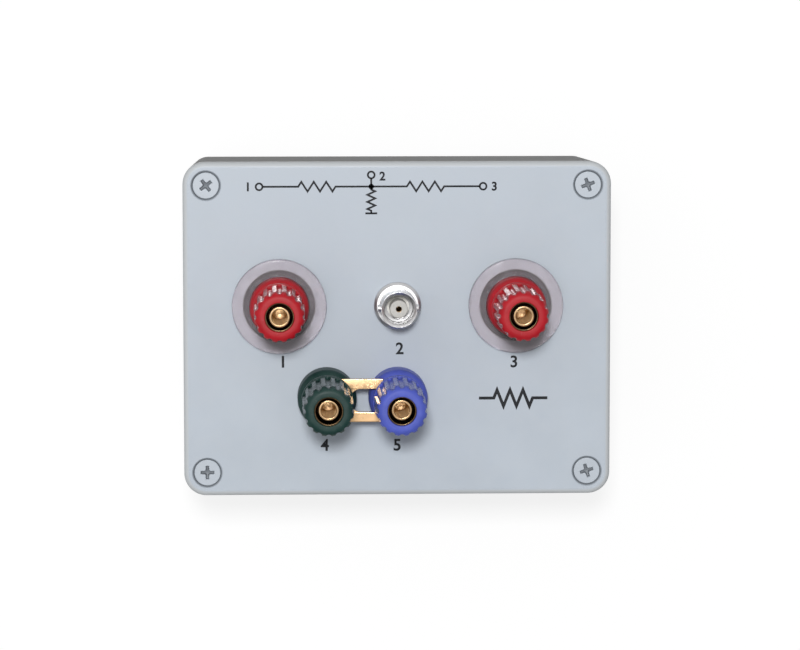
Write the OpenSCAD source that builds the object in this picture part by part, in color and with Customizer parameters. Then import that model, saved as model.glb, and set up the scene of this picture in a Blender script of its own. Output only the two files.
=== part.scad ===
// Bench resistance standard in a die-cast box, with four screw-down binding posts,
// a bayonet coaxial jack and a swinging shorting link.
// The box lies on its back. The origin is under the middle of the box, on the bench,
// +X runs to the right of the panel, +Y to the top of the panel, and +Z out of the panel.

/* [Enclosure] */
// Width of the box and its panel
box_w = 115; // [110:1:140]
// Depth of the box and its panel, top edge to bottom edge
box_d = 90; // [84:1:110]
// Height of the box, from its back to the front of its panel
box_h = 55; // [45:1:80]
// Wall thickness of the casting
wall_t = 2.2; // [1.8:0.1:2.8]
// Corner radius of the box seen from the front
corner_r = 6; // [5.5:0.1:7]
// Draft of the cast walls, in degrees
draft_angle = 1.5; // [0.5:0.25:2]
// Rounding of the edge at the back of the box
back_edge_r = 2.5; // [1:0.1:3]
// Rounding of the edge inside the back of the box
inner_edge_r = 1.2; // [0.5:0.1:1.5]
// Radius of the four screw columns in the corners
column_r = 4.4; // [3.6:0.1:4.8]

/* [Front panel] */
// Thickness of the panel
panel_t = 3.2; // [3:0.1:4]
// Rounding of the panel's front edge
panel_edge_r = 1.4; // [0.6:0.1:2]
// Height of the ribs that locate the panel in the box
rib_h = 2; // [1:0.1:4]
// Thickness of the locating ribs
rib_t = 1.5; // [1:0.1:2]
// Gap between a locating rib and what stands beside it
rib_gap = 0.3; // [0.2:0.05:0.5]

/* [Panel screws] */
// Distance of each screw from the two edges nearest to it
screw_inset = 6.25; // [6:0.05:7]
// Diameter of the countersunk heads
screw_head_d = 7.5; // [7:0.1:8.6]
// Thread diameter of the screws
screw_d = 3.5; // [3:0.1:4]
// Length of the screws under the panel
screw_reach = 10; // [6:0.5:16]
// How far the heads sit below the face of the panel
screw_sink = 0.4; // [0.05:0.05:0.5]
// Clearance round a screw in the panel
screw_gap = 0.2; // [0.1:0.05:0.3]
// Width of the cross recess over its points
recess_w = 3.8; // [3.2:0.1:4.4]
// Width of one slot of the cross recess
recess_slot = 1; // [0.7:0.05:1.2]
// Depth of the cross recess
recess_depth = 1.5; // [0.8:0.1:1.8]

/* [Feet] */
// Diameter of the rubber feet
foot_d = 12.7; // [9:0.1:16]
// Height of the rubber feet
foot_h = 3.5; // [2:0.1:6]
// Distance of the feet from the edges of the box
foot_inset = 14; // [12:0.5:20]
// Rounding of a foot's lower edge
foot_edge_r = 1; // [0.4:0.1:1.5]

/* [Panel layout] */
// Distance between the source and output posts
signal_pitch = 63.5; // [58:0.5:70]
// Height of the source, tap and output row above the middle of the panel
signal_y = 6.4; // [5:0.1:9]
// Distance between the ground and guard posts
guard_pitch = 19.05; // [17.5:0.05:20]
// Height of the ground and guard row above the middle of the panel
guard_y = -18.05; // [-21:0.05:-17]

/* [Binding posts] */
// Thread diameter of the studs
stud_d = 6; // [5.8:0.1:6.4]
// Diameter of the plain tip of a stud
tip_d = 5.5; // [5.2:0.1:5.7]
// Height of the stud tips above the panel
tip_h = 31.2; // [29:0.1:33]
// Length of the plain tip
tip_l = 5; // [3:0.5:7]
// Diameter of the plug socket in each stud
socket_d = 4; // [3.9:0.05:4.2]
// Depth of the plug socket
socket_depth = 17; // [14:0.5:17.5]
// Chamfer at the ends of a stud
stud_chamfer = 0.3; // [0.1:0.05:0.4]
// Diameter of the wire hole across each stud
wire_hole_d = 2.6; // [1.6:0.1:2.8]
// Height of the wire hole above the collar
wire_hole_h = 3; // [2:0.1:3.2]
// Diameter of the collar that carries a lug or the link
collar_d = 10; // [9:0.1:10.4]
// Thickness of the collar
collar_t = 1.6; // [1:0.1:2.5]
// Length of a stud behind the front of the panel
stud_tail = 15.5; // [14.5:0.5:18]

/* [Post bases] */
// Diameter of the insulating bases
base_d = 15.8; // [15:0.1:16.4]
// Height of the bases above the panel
base_h = 8.6; // [8:0.1:10]
// Rounding of the shoulder of a base
base_round = 2.4; // [1:0.1:2.5]
// Diameter of the spigot of a base in its hole
base_spigot_d = 9; // [8:0.1:10]
// Clearance round every spigot and stud in the piece that it passes through
seat_gap = 0.1; // [0.05:0.01:0.15]

/* [Insulating discs] */
// Diameter of the clear discs under the signal posts
disc_d = 25.4; // [23:0.1:27]
// Thickness of the clear discs in front of the panel
disc_t = 3; // [2:0.1:3.5]
// Diameter of the holes in the panel for the clear discs
disc_hole_d = 19.4; // [18:0.1:20]
// Rounding of the front edge of a disc
disc_edge_r = 0.5; // [0.2:0.1:0.8]
// Thickness of the insulators behind the panel
rear_disc_t = 2; // [1.5:0.1:3]

/* [Knobs] */
// Diameter of a knob at its skirt
skirt_d = 14.1; // [13.5:0.1:15]
// Height of the skirt
skirt_h = 2.6; // [2:0.1:4]
// Chamfer at both edges of the skirt
skirt_chamfer = 0.5; // [0.2:0.05:0.8]
// Diameter of the fluted body of a knob, just above its skirt
knob_body_d = 13.7; // [13.4:0.1:14]
// Diameter of a knob at its front
knob_d = 13.2; // [12.6:0.1:13.4]
// Length of a knob
knob_l = 22.2; // [20:0.1:24]
// Rounding of the front edge of a knob
knob_round = 1.8; // [0.8:0.1:2]
// Number of flutes round a knob
flute_count = 16; // [12:1:20]
// Radius of a flute
flute_r = 0.75; // [0.5:0.05:0.8]
// Depth of a flute
flute_depth = 0.6; // [0.3:0.05:0.65]
// Outer diameter of the metal insert
insert_d = 7.6; // [7.4:0.1:8.4]
// Bore of the insert in front of its thread
insert_bore_d = 6.9; // [6.8:0.05:7]
// Length of the thread in the insert
insert_thread_l = 7; // [5:0.5:9]
// How deep the insert sits below the front of the knob
insert_sink = 1.2; // [0.6:0.1:2]
// Diameter of the foot of the insert
insert_foot_d = 9.5; // [9:0.1:10.5]
// Thickness of the foot of the insert
insert_foot_t = 1.6; // [1:0.1:2.5]
// How far the foot of the insert stands below the knob
insert_proud = 0.4; // [0.2:0.05:0.8]
// Radial clearance of the threads
thread_gap = 0.08; // [0.04:0.01:0.1]
// Diameter of the captive clamp washers
clamp_d = 9.8; // [9:0.1:10.4]
// Thickness of the clamp washers
clamp_t = 1; // [0.6:0.1:1.5]

/* [Shorting link] */
// Thickness of the link
link_t = 1.8; // [1:0.1:2.5]
// Width of the link
link_w = 11.5; // [10.5:0.1:12.5]
// Distance from the middle of the ground post to the near end of the slot
slot_start = 5.9; // [4.5:0.1:7]
// Clearance of the hook's mouth on each side of the guard stud's path
mouth_gap = 0.25; // [0.15:0.05:0.4]

/* [Coaxial jack] */
// Diameter of the jack's flange
jack_flange_d = 12.7; // [12:0.1:14.5]
// Thickness of the jack's flange
jack_flange_t = 2.2; // [1.5:0.1:3]
// Height of the jack above the panel
jack_h = 12.8; // [12:0.1:14]
// Outer diameter of the jack's barrel
jack_barrel_d = 9.6; // [9.4:0.05:9.7]
// Bore of the jack's barrel
jack_bore_d = 8.1; // [8:0.05:8.3]
// Depth of the jack's bore
jack_bore_depth = 8.8; // [8:0.1:9.4]
// Width over the two bayonet lugs
lug_span = 11; // [10.8:0.05:11.1]
// Diameter of a bayonet lug
bayonet_d = 2; // [1.8:0.05:2.1]
// Distance of the bayonet lugs behind the mouth of the jack
bayonet_back = 4.9; // [4.5:0.1:5.5]
// Thread diameter of the jack behind its flange
jack_thread_d = 9.5; // [9:0.1:9.8]
// Length of the jack's thread behind the front of the panel
jack_thread_l = 9.5; // [8.5:0.1:11]
// Bore of the jack behind the barrel
jack_core_d = 6; // [5:0.1:6.5]
// Diameter of the insulator's nose in the bore
nose_d = 4.8; // [4.6:0.05:5]
// How deep the nose sits below the mouth of the jack
nose_sink = 2; // [0.4:0.1:2.5]
// Bore of the centre contact
contact_bore_d = 1.4; // [1.3:0.05:1.5]
// Outer diameter of the centre contact
contact_d = 2.2; // [2:0.05:2.4]
// Diameter of the solder pin behind the jack
solder_pin_d = 1.4; // [1.2:0.05:1.6]
// Height of the jack's nut
jack_nut_t = 2.4; // [2:0.1:3]
// Width across the flats of the jack's nut
jack_nut_flats = 12.7; // [12:0.1:14]

/* [Hardware behind the panel] */
// Width across the flats of the post nuts
nut_flats = 9.5; // [9:0.1:10.5]
// Height of the post nuts
nut_t = 3; // [2.2:0.1:3.2]
// Thickness of the lock washers
lock_t = 0.8; // [0.6:0.1:1]
// Width of the band of a lock washer
lock_band = 1.6; // [1.2:0.1:1.7]
// Width of the split in a lock washer
lock_split = 1; // [0.6:0.1:1.5]
// Thickness of the solder lugs
solder_lug_t = 0.6; // [0.4:0.1:0.8]
// Diameter of the eye of a solder lug
solder_lug_d = 9; // [8.6:0.1:10]
// Distance from a stud to the wire hole of its solder lug
solder_lug_reach = 8; // [7.5:0.1:9]
// Width of the tail of a solder lug
solder_lug_tail = 3; // [2.4:0.1:4]

/* [Resistance network] */
// Diameter of the two series elements
series_d = 6; // [5:0.1:7]
// Length of the two series elements
series_l = 15; // [12:0.5:16]
// Diameter of the shunt element
shunt_d = 4; // [3:0.1:4.5]
// Length of the shunt element
shunt_l = 8; // [6:0.5:9]
// Length of the metal cap on the end of an element
cap_l = 1.8; // [1.5:0.1:2.5]
// Wall of the metal caps
cap_wall = 0.3; // [0.2:0.05:0.5]
// Diameter of the lead wires
lead_d = 0.8; // [0.6:0.05:1]
// Height of the eye at the end of a lead
eye_h = 1; // [1:0.1:1.2]
// Wall of the eye at the end of a lead
eye_wall = 0.5; // [0.4:0.05:0.8]
// Distance from the end of the jack's thread to the first lead
lead_drop = 5; // [4.5:0.1:6]

/* [Hidden] */

// Roundness of the curved surfaces
$fn = 64;
// Extra length of a cut, so that it goes right through
cut = 1;

// Angle of each screw's cross recess, in the order of screw_places
recess_angles = [0, 17, 20, 45];

// Places of the parts on the panel
source_at = [-signal_pitch / 2, signal_y];
output_at = [signal_pitch / 2, signal_y];
tap_at = [0, signal_y];
guard_at = [0, guard_y];
ground_at = [-guard_pitch, guard_y];
lug_places = [source_at, output_at, guard_at];

// Heights of the box
panel_z = foot_h + box_h;
rim_z = panel_z - panel_t;
wall_h = rim_z - foot_h;

// Middle of each rounded corner, and the corner radius at the back of the box
corner_x = box_w / 2 - corner_r;
corner_y = box_d / 2 - corner_r;
back_corner_r = corner_r - wall_h * tan(draft_angle);

screw_x = box_w / 2 - screw_inset;
screw_y = box_d / 2 - screw_inset;
screw_places = [[-screw_x, -screw_y], [screw_x, -screw_y], [screw_x, screw_y], [-screw_x, screw_y]];
foot_x = box_w / 2 - foot_inset;
foot_y = box_d / 2 - foot_inset;

// Heights above the panel at which the signal clamps and the link's clamps rest
signal_clamp_h = base_h;
link_clamp_h = base_h + link_t;

// Depths behind the front of the panel
rear_start = panel_t + rear_disc_t;
solder_lug_at = rear_start + nut_t + solder_lug_t;
locking_nut_at = solder_lug_at + lock_t + nut_t;
ground_nut_at = rear_start + lock_t + nut_t;

// Lead levels under the jack, and the spans from the solder pin to the solder lugs
first_lead = jack_thread_l + lead_drop;
signal_span = signal_pitch / 2 - solder_lug_reach;
shunt_span = signal_y - guard_y - solder_lug_reach;

// Puts what follows on the panel, at a place and a height above its front
module on_panel(place, height = 0) {
    translate([place[0], place[1], panel_z + height])
        children();
}

// Block with rounded upright corners: its half profile is turned at each corner and drawn along each side
module round_cornered(half_x, half_y, low, high) {
    for (sx = [-1, 1], sy = [-1, 1])
        translate([sx * half_x, sy * half_y, 0])
            rotate_extrude()
                children(0);
    rotate([90, 0, 0])
        linear_extrude(height = 2 * half_y, center = true)
            mirrored_section(half_x, low, high)
                children(0);
    rotate([90, 0, 90])
        linear_extrude(height = 2 * half_x, center = true)
            mirrored_section(half_y, low, high)
                children(0);
}

// Full cross-section with the half profile at both of its ends
module mirrored_section(half, low, high) {
    for (side = [0, 1])
        mirror([side, 0])
            translate([half, 0])
                children(0);
    translate([-half, low])
        square([2 * half, high - low]);
}

// Drafted block with rounded corners and a rounded back edge, an inset in from the outside of the box
module cast_block(inset, low, high, edge_r) {
    back_r = back_corner_r - inset;
    hull()
        for (sx = [-1, 1], sy = [-1, 1])
            translate([sx * corner_x, sy * corner_y, 0])
                rotate_extrude($fn = 32) {
                    translate([back_r - edge_r, low + edge_r])
                        intersection() {
                            circle(edge_r, $fn = 32);
                            translate([0, -edge_r])
                                square([edge_r, 2 * edge_r]);
                        }
                    polygon([[0, low], [back_r - edge_r, low], [back_r, low + edge_r],
                        [corner_r - inset, high], [0, high]]);
                }
}

module enclosure_body() {
    color("gray")
        difference() {
            cast_block(0, foot_h, rim_z, back_edge_r);
            difference() {
                cast_block(wall_t, foot_h + wall_t, rim_z + cut, inner_edge_r);
                for (place = screw_places)
                    translate([place[0], place[1], foot_h])
                        cylinder(h = wall_h, r = column_r);
            }
            for (place = screw_places)
                translate([place[0], place[1], rim_z - screw_reach - cut])
                    cylinder(h = screw_reach + 2 * cut, d = screw_d);
        }
}

// Half profile of the panel, with its front edge rounded
module panel_profile() {
    translate([0, rim_z])
        square([corner_r, panel_t - panel_edge_r]);
    translate([0, rim_z])
        square([corner_r - panel_edge_r, panel_t]);
    translate([corner_r - panel_edge_r, panel_z - panel_edge_r])
        circle(panel_edge_r);
}

// Ribs under the panel that fit inside the box, between the screw columns
module locating_ribs() {
    rib_x = box_w / 2 - wall_t - rib_gap - rib_t;
    rib_y = box_d / 2 - wall_t - rib_gap - rib_t;
    long_rib = 2 * (screw_x - column_r - rib_gap);
    short_rib = 2 * (screw_y - column_r - rib_gap);
    for (side = [0, 1]) {
        mirror([0, side, 0])
            translate([-long_rib / 2, rib_y, rim_z - rib_h])
                cube([long_rib, rib_t, rib_h + panel_t / 2]);
        mirror([side, 0, 0])
            translate([rib_x, -short_rib / 2, rim_z - rib_h])
                cube([rib_t, short_rib, rib_h + panel_t / 2]);
    }
}

// Round hole right through the panel
module panel_hole(place, diameter) {
    on_panel(place, -panel_t - cut)
        cylinder(h = panel_t + 2 * cut, d = diameter);
}

// Countersunk screw hole
module screw_hole(place) {
    mouth_r = screw_head_d / 2 + screw_sink;
    shank_r = screw_d / 2 + screw_gap;
    panel_hole(place, 2 * shank_r);
    on_panel(place, -(mouth_r - shank_r))
        cylinder(h = mouth_r - shank_r, r1 = shank_r, r2 = mouth_r);
    on_panel(place)
        cylinder(h = cut, r = mouth_r);
}

module front_panel() {
    color("lightsteelblue")
        difference() {
            union() {
                round_cornered(corner_x, corner_y, rim_z, panel_z)
                    panel_profile();
                locating_ribs();
            }
            panel_hole(source_at, disc_hole_d);
            panel_hole(output_at, disc_hole_d);
            panel_hole(tap_at, jack_thread_d + 2 * seat_gap);
            panel_hole(ground_at, base_spigot_d + 2 * seat_gap);
            panel_hole(guard_at, base_spigot_d + 2 * seat_gap);
            for (place = screw_places)
                screw_hole(place);
        }
}

module panel_screws() {
    head_r = screw_head_d / 2;
    shank_r = screw_d / 2;
    color("lightgray")
        for (i = [0 : len(screw_places) - 1])
            on_panel(screw_places[i], -screw_sink)
                difference() {
                    union() {
                        translate([0, 0, shank_r - head_r])
                            cylinder(h = head_r - shank_r, r1 = shank_r, r2 = head_r);
                        translate([0, 0, screw_sink - panel_t - screw_reach])
                            cylinder(h = panel_t + screw_reach - head_r + shank_r - screw_sink, r = shank_r);
                    }
                    for (turn = [0, 90])
                        rotate([0, 0, recess_angles[i] + turn])
                            translate([-recess_w / 2, -recess_slot / 2, -recess_depth])
                                cube([recess_w, recess_slot, recess_depth + cut]);
                }
}

module rubber_feet() {
    color("dimgray")
        for (sx = [-1, 1], sy = [-1, 1])
            translate([sx * foot_x, sy * foot_y, 0])
                rotate_extrude() {
                    translate([0, foot_edge_r])
                        square([foot_d / 2, foot_h - foot_edge_r]);
                    square([foot_d / 2 - foot_edge_r, foot_h]);
                    translate([foot_d / 2 - foot_edge_r, foot_edge_r])
                        circle(foot_edge_r);
                }
}

// Clear disc with a spigot in the panel and a seat for the base of a post
module insulating_disc(place) {
    spigot_r = disc_hole_d / 2 - 2 * seat_gap;
    color("whitesmoke", 0.5)
        on_panel(place)
            difference() {
                rotate_extrude() {
                    translate([0, -panel_t])
                        square([spigot_r, panel_t]);
                    square([disc_d / 2, disc_t - disc_edge_r]);
                    square([disc_d / 2 - disc_edge_r, disc_t]);
                    translate([disc_d / 2 - disc_edge_r, disc_t - disc_edge_r])
                        circle(disc_edge_r);
                }
                cylinder(h = disc_t + cut, d = base_d + 2 * seat_gap);
                translate([0, 0, -panel_t - cut])
                    cylinder(h = panel_t + 2 * cut, d = base_spigot_d + 2 * seat_gap);
            }
}

// Flat ring behind the panel
module rear_washer(place, diameter, shade) {
    color(shade)
        on_panel(place, -rear_start)
            difference() {
                cylinder(h = rear_disc_t, d = diameter);
                translate([0, 0, -cut])
                    cylinder(h = rear_disc_t + 2 * cut, d = stud_d + 2 * seat_gap);
            }
}

// Insulating base, with a rounded shoulder, a spigot and a seat for the stud's collar
module post_base(place, shade) {
    color(shade)
        on_panel(place)
            difference() {
                rotate_extrude() {
                    translate([0, -panel_t])
                        square([base_spigot_d / 2, panel_t]);
                    square([base_d / 2, base_h - base_round]);
                    square([base_d / 2 - base_round, base_h]);
                    translate([base_d / 2 - base_round, base_h - base_round])
                        circle(base_round);
                }
                translate([0, 0, base_h - collar_t])
                    cylinder(h = collar_t + cut, d = collar_d + 2 * seat_gap);
                translate([0, 0, -panel_t - cut])
                    cylinder(h = panel_t + base_h + cut, d = stud_d + 2 * seat_gap);
            }
}

// Stud with a collar, a plug socket in its tip and a wire hole across it
module post_stud(place) {
    stud_r = stud_d / 2;
    tip_r = tip_d / 2;
    thread_end = tip_h - tip_l;
    color("gold")
        on_panel(place)
            difference() {
                rotate_extrude()
                    polygon([[0, -stud_tail], [stud_r - stud_chamfer, -stud_tail],
                        [stud_r, -stud_tail + stud_chamfer], [stud_r, base_h - collar_t],
                        [collar_d / 2, base_h - collar_t], [collar_d / 2, base_h],
                        [stud_r, base_h], [stud_r, thread_end],
                        [tip_r, thread_end + stud_r - tip_r], [tip_r, tip_h - stud_chamfer],
                        [tip_r - stud_chamfer, tip_h], [0, tip_h]]);
                translate([0, 0, tip_h - socket_depth])
                    cylinder(h = socket_depth + cut, d = socket_d);
                translate([0, 0, base_h + wire_hole_h])
                    rotate([0, 90, 0])
                        cylinder(h = stud_d + 2 * cut, d = wire_hole_d, center = true);
            }
}

// Washer that is pressed down by the knob and does not turn with it
module clamp_washer(place, height) {
    color("goldenrod")
        on_panel(place, height)
            difference() {
                cylinder(h = clamp_t, d = clamp_d);
                translate([0, 0, -cut])
                    cylinder(h = clamp_t + 2 * cut, r = stud_d / 2 + thread_gap);
            }
}

// Metal insert that holds the thread of a knob
module knob_insert(place, clamp_h) {
    insert_l = insert_proud + knob_l - insert_sink;
    color("gold")
        on_panel(place, clamp_h + clamp_t)
            difference() {
                union() {
                    cylinder(h = insert_foot_t, d = insert_foot_d);
                    cylinder(h = insert_l, d = insert_d);
                }
                translate([0, 0, -cut])
                    cylinder(h = insert_thread_l + cut + cut, r = stud_d / 2 + thread_gap);
                translate([0, 0, insert_thread_l])
                    cylinder(h = insert_l, d = insert_bore_d);
            }
}

// Outside of a knob: a skirt, a tapered body and a rounded front
module knob_blank() {
    skirt_r = skirt_d / 2;
    front_r = knob_d / 2;
    round_at = knob_l - knob_round;
    rotate_extrude() {
        polygon([[0, 0], [skirt_r - skirt_chamfer, 0], [skirt_r, skirt_chamfer],
            [skirt_r, skirt_h - skirt_chamfer], [knob_body_d / 2, skirt_h], [front_r, round_at],
            [front_r - knob_round, round_at], [front_r - knob_round, knob_l], [0, knob_l]]);
        translate([front_r - knob_round, round_at])
            circle(knob_round);
    }
}

// Grooves that follow the taper of the knob and end in a round above its skirt
module flutes() {
    body_r = knob_body_d / 2;
    lean = atan((body_r - knob_d / 2) / (knob_l - skirt_h - knob_round));
    for (i = [0 : flute_count - 1])
        rotate([0, 0, (i + 0.5) * 360 / flute_count])
            translate([body_r + flute_r - flute_depth, 0, skirt_h + flute_r])
                rotate([0, -lean, 0]) {
                    cylinder(h = knob_l, r = flute_r, $fn = 24);
                    sphere(r = flute_r, $fn = 24);
                }
}

module knob(place, clamp_h, shade) {
    color(shade)
        on_panel(place, clamp_h + clamp_t + insert_proud)
            difference() {
                knob_blank();
                flutes();
                translate([0, 0, -cut])
                    cylinder(h = knob_l + 2 * cut, d = insert_d);
                translate([0, 0, -cut])
                    cylinder(h = insert_foot_t - insert_proud + cut, d = insert_foot_d);
            }
}

// Radius of the link's hole and of the ends of its slot
function slot_r() = stud_d / 2 + thread_gap;

// Hooked link, with a hole on the ground stud and a slot that opens beside the guard stud
module shorting_link() {
    half_w = link_w / 2;
    // Where the guard stud leaves the link as the link swings about the ground stud
    leave_x = sqrt(pow(guard_pitch, 2) - pow(half_w, 2));
    mouth_low = leave_x - stud_d / 2 - mouth_gap;
    mouth_high = guard_pitch + slot_r();
    color("darkgoldenrod")
        on_panel(ground_at, base_h)
            difference() {
                union() {
                    cylinder(h = link_t, r = half_w);
                    translate([guard_pitch, 0, 0])
                        cylinder(h = link_t, r = half_w);
                    translate([0, -half_w, 0])
                        cube([guard_pitch, link_w, link_t]);
                }
                translate([0, 0, -cut])
                    cylinder(h = link_t + 2 * cut, r = slot_r());
                translate([slot_start + slot_r(), 0, -cut])
                    cylinder(h = link_t + 2 * cut, r = slot_r());
                translate([guard_pitch, 0, -cut])
                    cylinder(h = link_t + 2 * cut, r = slot_r());
                translate([slot_start + slot_r(), -slot_r(), -cut])
                    cube([guard_pitch - slot_start - slot_r(), 2 * slot_r(), link_t + 2 * cut]);
                translate([mouth_low, 0, -cut])
                    cube([mouth_high - mouth_low, half_w + cut, link_t + 2 * cut]);
            }
}

// Hexagon nut whose rear face lies at a depth behind the front of the panel
module hex_nut(place, depth, flats, height, bore) {
    on_panel(place, -depth)
        difference() {
            cylinder(h = height, d = flats / cos(30), $fn = 6);
            translate([0, 0, -cut])
                cylinder(h = height + 2 * cut, d = bore);
        }
}

// Split ring whose rear face lies at a depth behind the front of the panel
module lock_washer(place, depth, bore) {
    on_panel(place, -depth)
        difference() {
            cylinder(h = lock_t, r = bore / 2 + lock_band);
            translate([0, 0, -cut])
                cylinder(h = lock_t + 2 * cut, d = bore);
            translate([0, -lock_split / 2, -cut])
                cube([bore + lock_band, lock_split, lock_t + 2 * cut]);
        }
}

module post_nuts() {
    color("silver") {
        for (place = lug_places) {
            hex_nut(place, rear_start + nut_t, nut_flats, nut_t, stud_d);
            hex_nut(place, locking_nut_at, nut_flats, nut_t, stud_d);
        }
        hex_nut(ground_at, ground_nut_at, nut_flats, nut_t, stud_d);
    }
}

module post_lock_washers() {
    color("silver") {
        for (place = lug_places)
            lock_washer(place, solder_lug_at + lock_t, stud_d);
        lock_washer(ground_at, rear_start + lock_t, stud_d);
    }
}

// Flat lug with an eye on the stud and a tail turned towards the jack
module solder_lug(place, turn) {
    color("gold")
        on_panel(place, -solder_lug_at)
            rotate([0, 0, turn])
                difference() {
                    union() {
                        cylinder(h = solder_lug_t, d = solder_lug_d);
                        translate([0, -solder_lug_tail / 2, 0])
                            cube([solder_lug_reach, solder_lug_tail, solder_lug_t]);
                        translate([solder_lug_reach, 0, 0])
                            cylinder(h = solder_lug_t, d = solder_lug_tail);
                    }
                    translate([0, 0, -cut])
                        cylinder(h = solder_lug_t + 2 * cut, d = stud_d);
                    translate([solder_lug_reach, 0, -cut])
                        cylinder(h = solder_lug_t + 2 * cut, d = lead_d);
                }
}

// Shell of the jack: flange, barrel with two bayonet lugs, and thread
module tap_jack_shell() {
    barrel_r = jack_barrel_d / 2;
    flange_r = jack_flange_d / 2;
    bevel = (jack_flange_d - jack_barrel_d) / 4;
    rim = (jack_barrel_d - jack_bore_d) / 4;
    color("silver")
        on_panel(tap_at)
            difference() {
                union() {
                    rotate_extrude()
                        polygon([[0, -jack_thread_l], [jack_thread_d / 2, -jack_thread_l],
                            [jack_thread_d / 2, 0], [flange_r, 0], [flange_r, jack_flange_t - bevel],
                            [flange_r - bevel, jack_flange_t], [barrel_r, jack_flange_t],
                            [barrel_r, jack_h - rim], [barrel_r - rim, jack_h], [0, jack_h]]);
                    translate([0, 0, jack_h - bayonet_back])
                        rotate([0, 90, 0])
                            cylinder(h = lug_span, d = bayonet_d, center = true);
                }
                translate([0, 0, jack_h - jack_bore_depth])
                    cylinder(h = jack_bore_depth + cut, d = jack_bore_d);
                translate([0, 0, -jack_thread_l - cut])
                    cylinder(h = jack_thread_l + jack_h, d = jack_core_d);
            }
}

// Insulator of the jack, with its nose in the barrel
module tap_jack_insulator() {
    nose_low = jack_h - jack_bore_depth;
    color("ivory")
        on_panel(tap_at)
            difference() {
                union() {
                    translate([0, 0, -jack_thread_l])
                        cylinder(h = jack_thread_l + nose_low, d = jack_core_d);
                    cylinder(h = jack_h - nose_sink, d = nose_d);
                }
                translate([0, 0, -jack_thread_l - cut])
                    cylinder(h = jack_thread_l + jack_h, d = contact_d);
            }
}

// Centre contact of the jack, with its solder pin
module tap_jack_contact() {
    contact_top = jack_h - nose_sink;
    pin_end = first_lead + 3 * eye_h;
    color("gold")
        on_panel(tap_at)
            difference() {
                union() {
                    translate([0, 0, -jack_thread_l])
                        cylinder(h = jack_thread_l + contact_top, d = contact_d);
                    translate([0, 0, -pin_end])
                        cylinder(h = pin_end, d = solder_pin_d);
                }
                cylinder(h = contact_top + cut, d = contact_bore_d);
            }
}

module tap_jack_nut() {
    color("silver")
        hex_nut(tap_at, panel_t + lock_t + jack_nut_t, jack_nut_flats, jack_nut_t, jack_thread_d);
}

module tap_jack_lock_washer() {
    color("silver")
        lock_washer(tap_at, panel_t + lock_t, jack_thread_d);
}

// Frame of one element of the network: the solder pin stands at its origin and the lug lies along +X
module beside_pin(turn, level) {
    on_panel(tap_at, -first_lead - level * eye_h - eye_h / 2)
        rotate([0, 0, turn])
            children();
}

// Rod of one element, in the middle of its span
module element_rod(turn, level, span, diameter, length, shade) {
    color(shade)
        beside_pin(turn, level)
            translate([(span - length) / 2, 0, 0])
                rotate([0, 90, 0])
                    cylinder(h = length, d = diameter);
}

// Cap pressed over one end of a rod, with its mouth towards +X
module element_cap(diameter) {
    translate([-cap_wall, 0, 0])
        rotate([0, 90, 0])
            difference() {
                cylinder(h = cap_l, d = diameter + 2 * cap_wall);
                translate([0, 0, cap_wall])
                    cylinder(h = cap_l, d = diameter);
            }
}

// The two caps of an element with their leads, one to an eye on the pin and one up into the lug
module element_leads(turn, level, span, diameter, length) {
    near_end = (span - length) / 2;
    far_end = near_end + length;
    eye_r = solder_pin_d / 2 + eye_wall;
    rise = first_lead + (level + 0.5) * eye_h - solder_lug_at;
    color("silver")
        beside_pin(turn, level) {
            difference() {
                union() {
                    translate([0, 0, -eye_h / 2])
                        cylinder(h = eye_h, r = eye_r);
                    rotate([0, 90, 0])
                        cylinder(h = near_end - cap_wall / 2, d = lead_d);
                    translate([near_end, 0, 0])
                        element_cap(diameter);
                }
                translate([0, 0, -eye_h])
                    cylinder(h = 2 * eye_h, d = solder_pin_d);
            }
            translate([far_end, 0, 0])
                mirror([1, 0, 0])
                    element_cap(diameter);
            translate([far_end + cap_wall / 2, 0, 0])
                rotate([0, 90, 0])
                    cylinder(h = span - far_end - cap_wall / 2, d = lead_d);
            translate([span, 0, 0])
                sphere(d = lead_d);
            translate([span, 0, 0])
                cylinder(h = rise + solder_lug_t, d = lead_d);
        }
}

enclosure_body();
front_panel();
panel_screws();
rubber_feet();
insulating_disc(source_at);  // source_disc
insulating_disc(output_at);  // output_disc
rear_washer(source_at, disc_d, "whitesmoke");  // source_rear_disc
rear_washer(output_at, disc_d, "whitesmoke");  // output_rear_disc
rear_washer(guard_at, base_d, "white");  // guard_rear_washer
rear_washer(ground_at, base_d, "silver");  // ground_rear_washer
post_base(source_at, "firebrick");  // source_base
post_base(output_at, "firebrick");  // output_base
post_base(ground_at, "darkslategray");  // ground_base
post_base(guard_at, "slateblue");  // guard_base
post_stud(source_at);  // source_stud
post_stud(output_at);  // output_stud
post_stud(ground_at);  // ground_stud
post_stud(guard_at);  // guard_stud
post_nuts();
post_lock_washers();
solder_lug(source_at, 0);  // source_solder_lug
solder_lug(output_at, 180);  // output_solder_lug
solder_lug(guard_at, 90);  // guard_solder_lug
tap_jack_shell();
tap_jack_insulator();
tap_jack_contact();
tap_jack_nut();
tap_jack_lock_washer();
element_rod(180, 0, signal_span, series_d, series_l, "sienna");  // source_resistor
element_leads(180, 0, signal_span, series_d, series_l);  // source_resistor_leads
element_rod(0, 1, signal_span, series_d, series_l, "sienna");  // output_resistor
element_leads(0, 1, signal_span, series_d, series_l);  // output_resistor_leads
element_rod(-90, 2, shunt_span, shunt_d, shunt_l, "darkgreen");  // shunt_resistor
element_leads(-90, 2, shunt_span, shunt_d, shunt_l);  // shunt_resistor_leads
clamp_washer(source_at, signal_clamp_h);  // source_clamp_washer
clamp_washer(output_at, signal_clamp_h);  // output_clamp_washer
clamp_washer(ground_at, link_clamp_h);  // ground_clamp_washer
clamp_washer(guard_at, link_clamp_h);  // guard_clamp_washer
knob(source_at, signal_clamp_h, "crimson");  // source_knob
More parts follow.
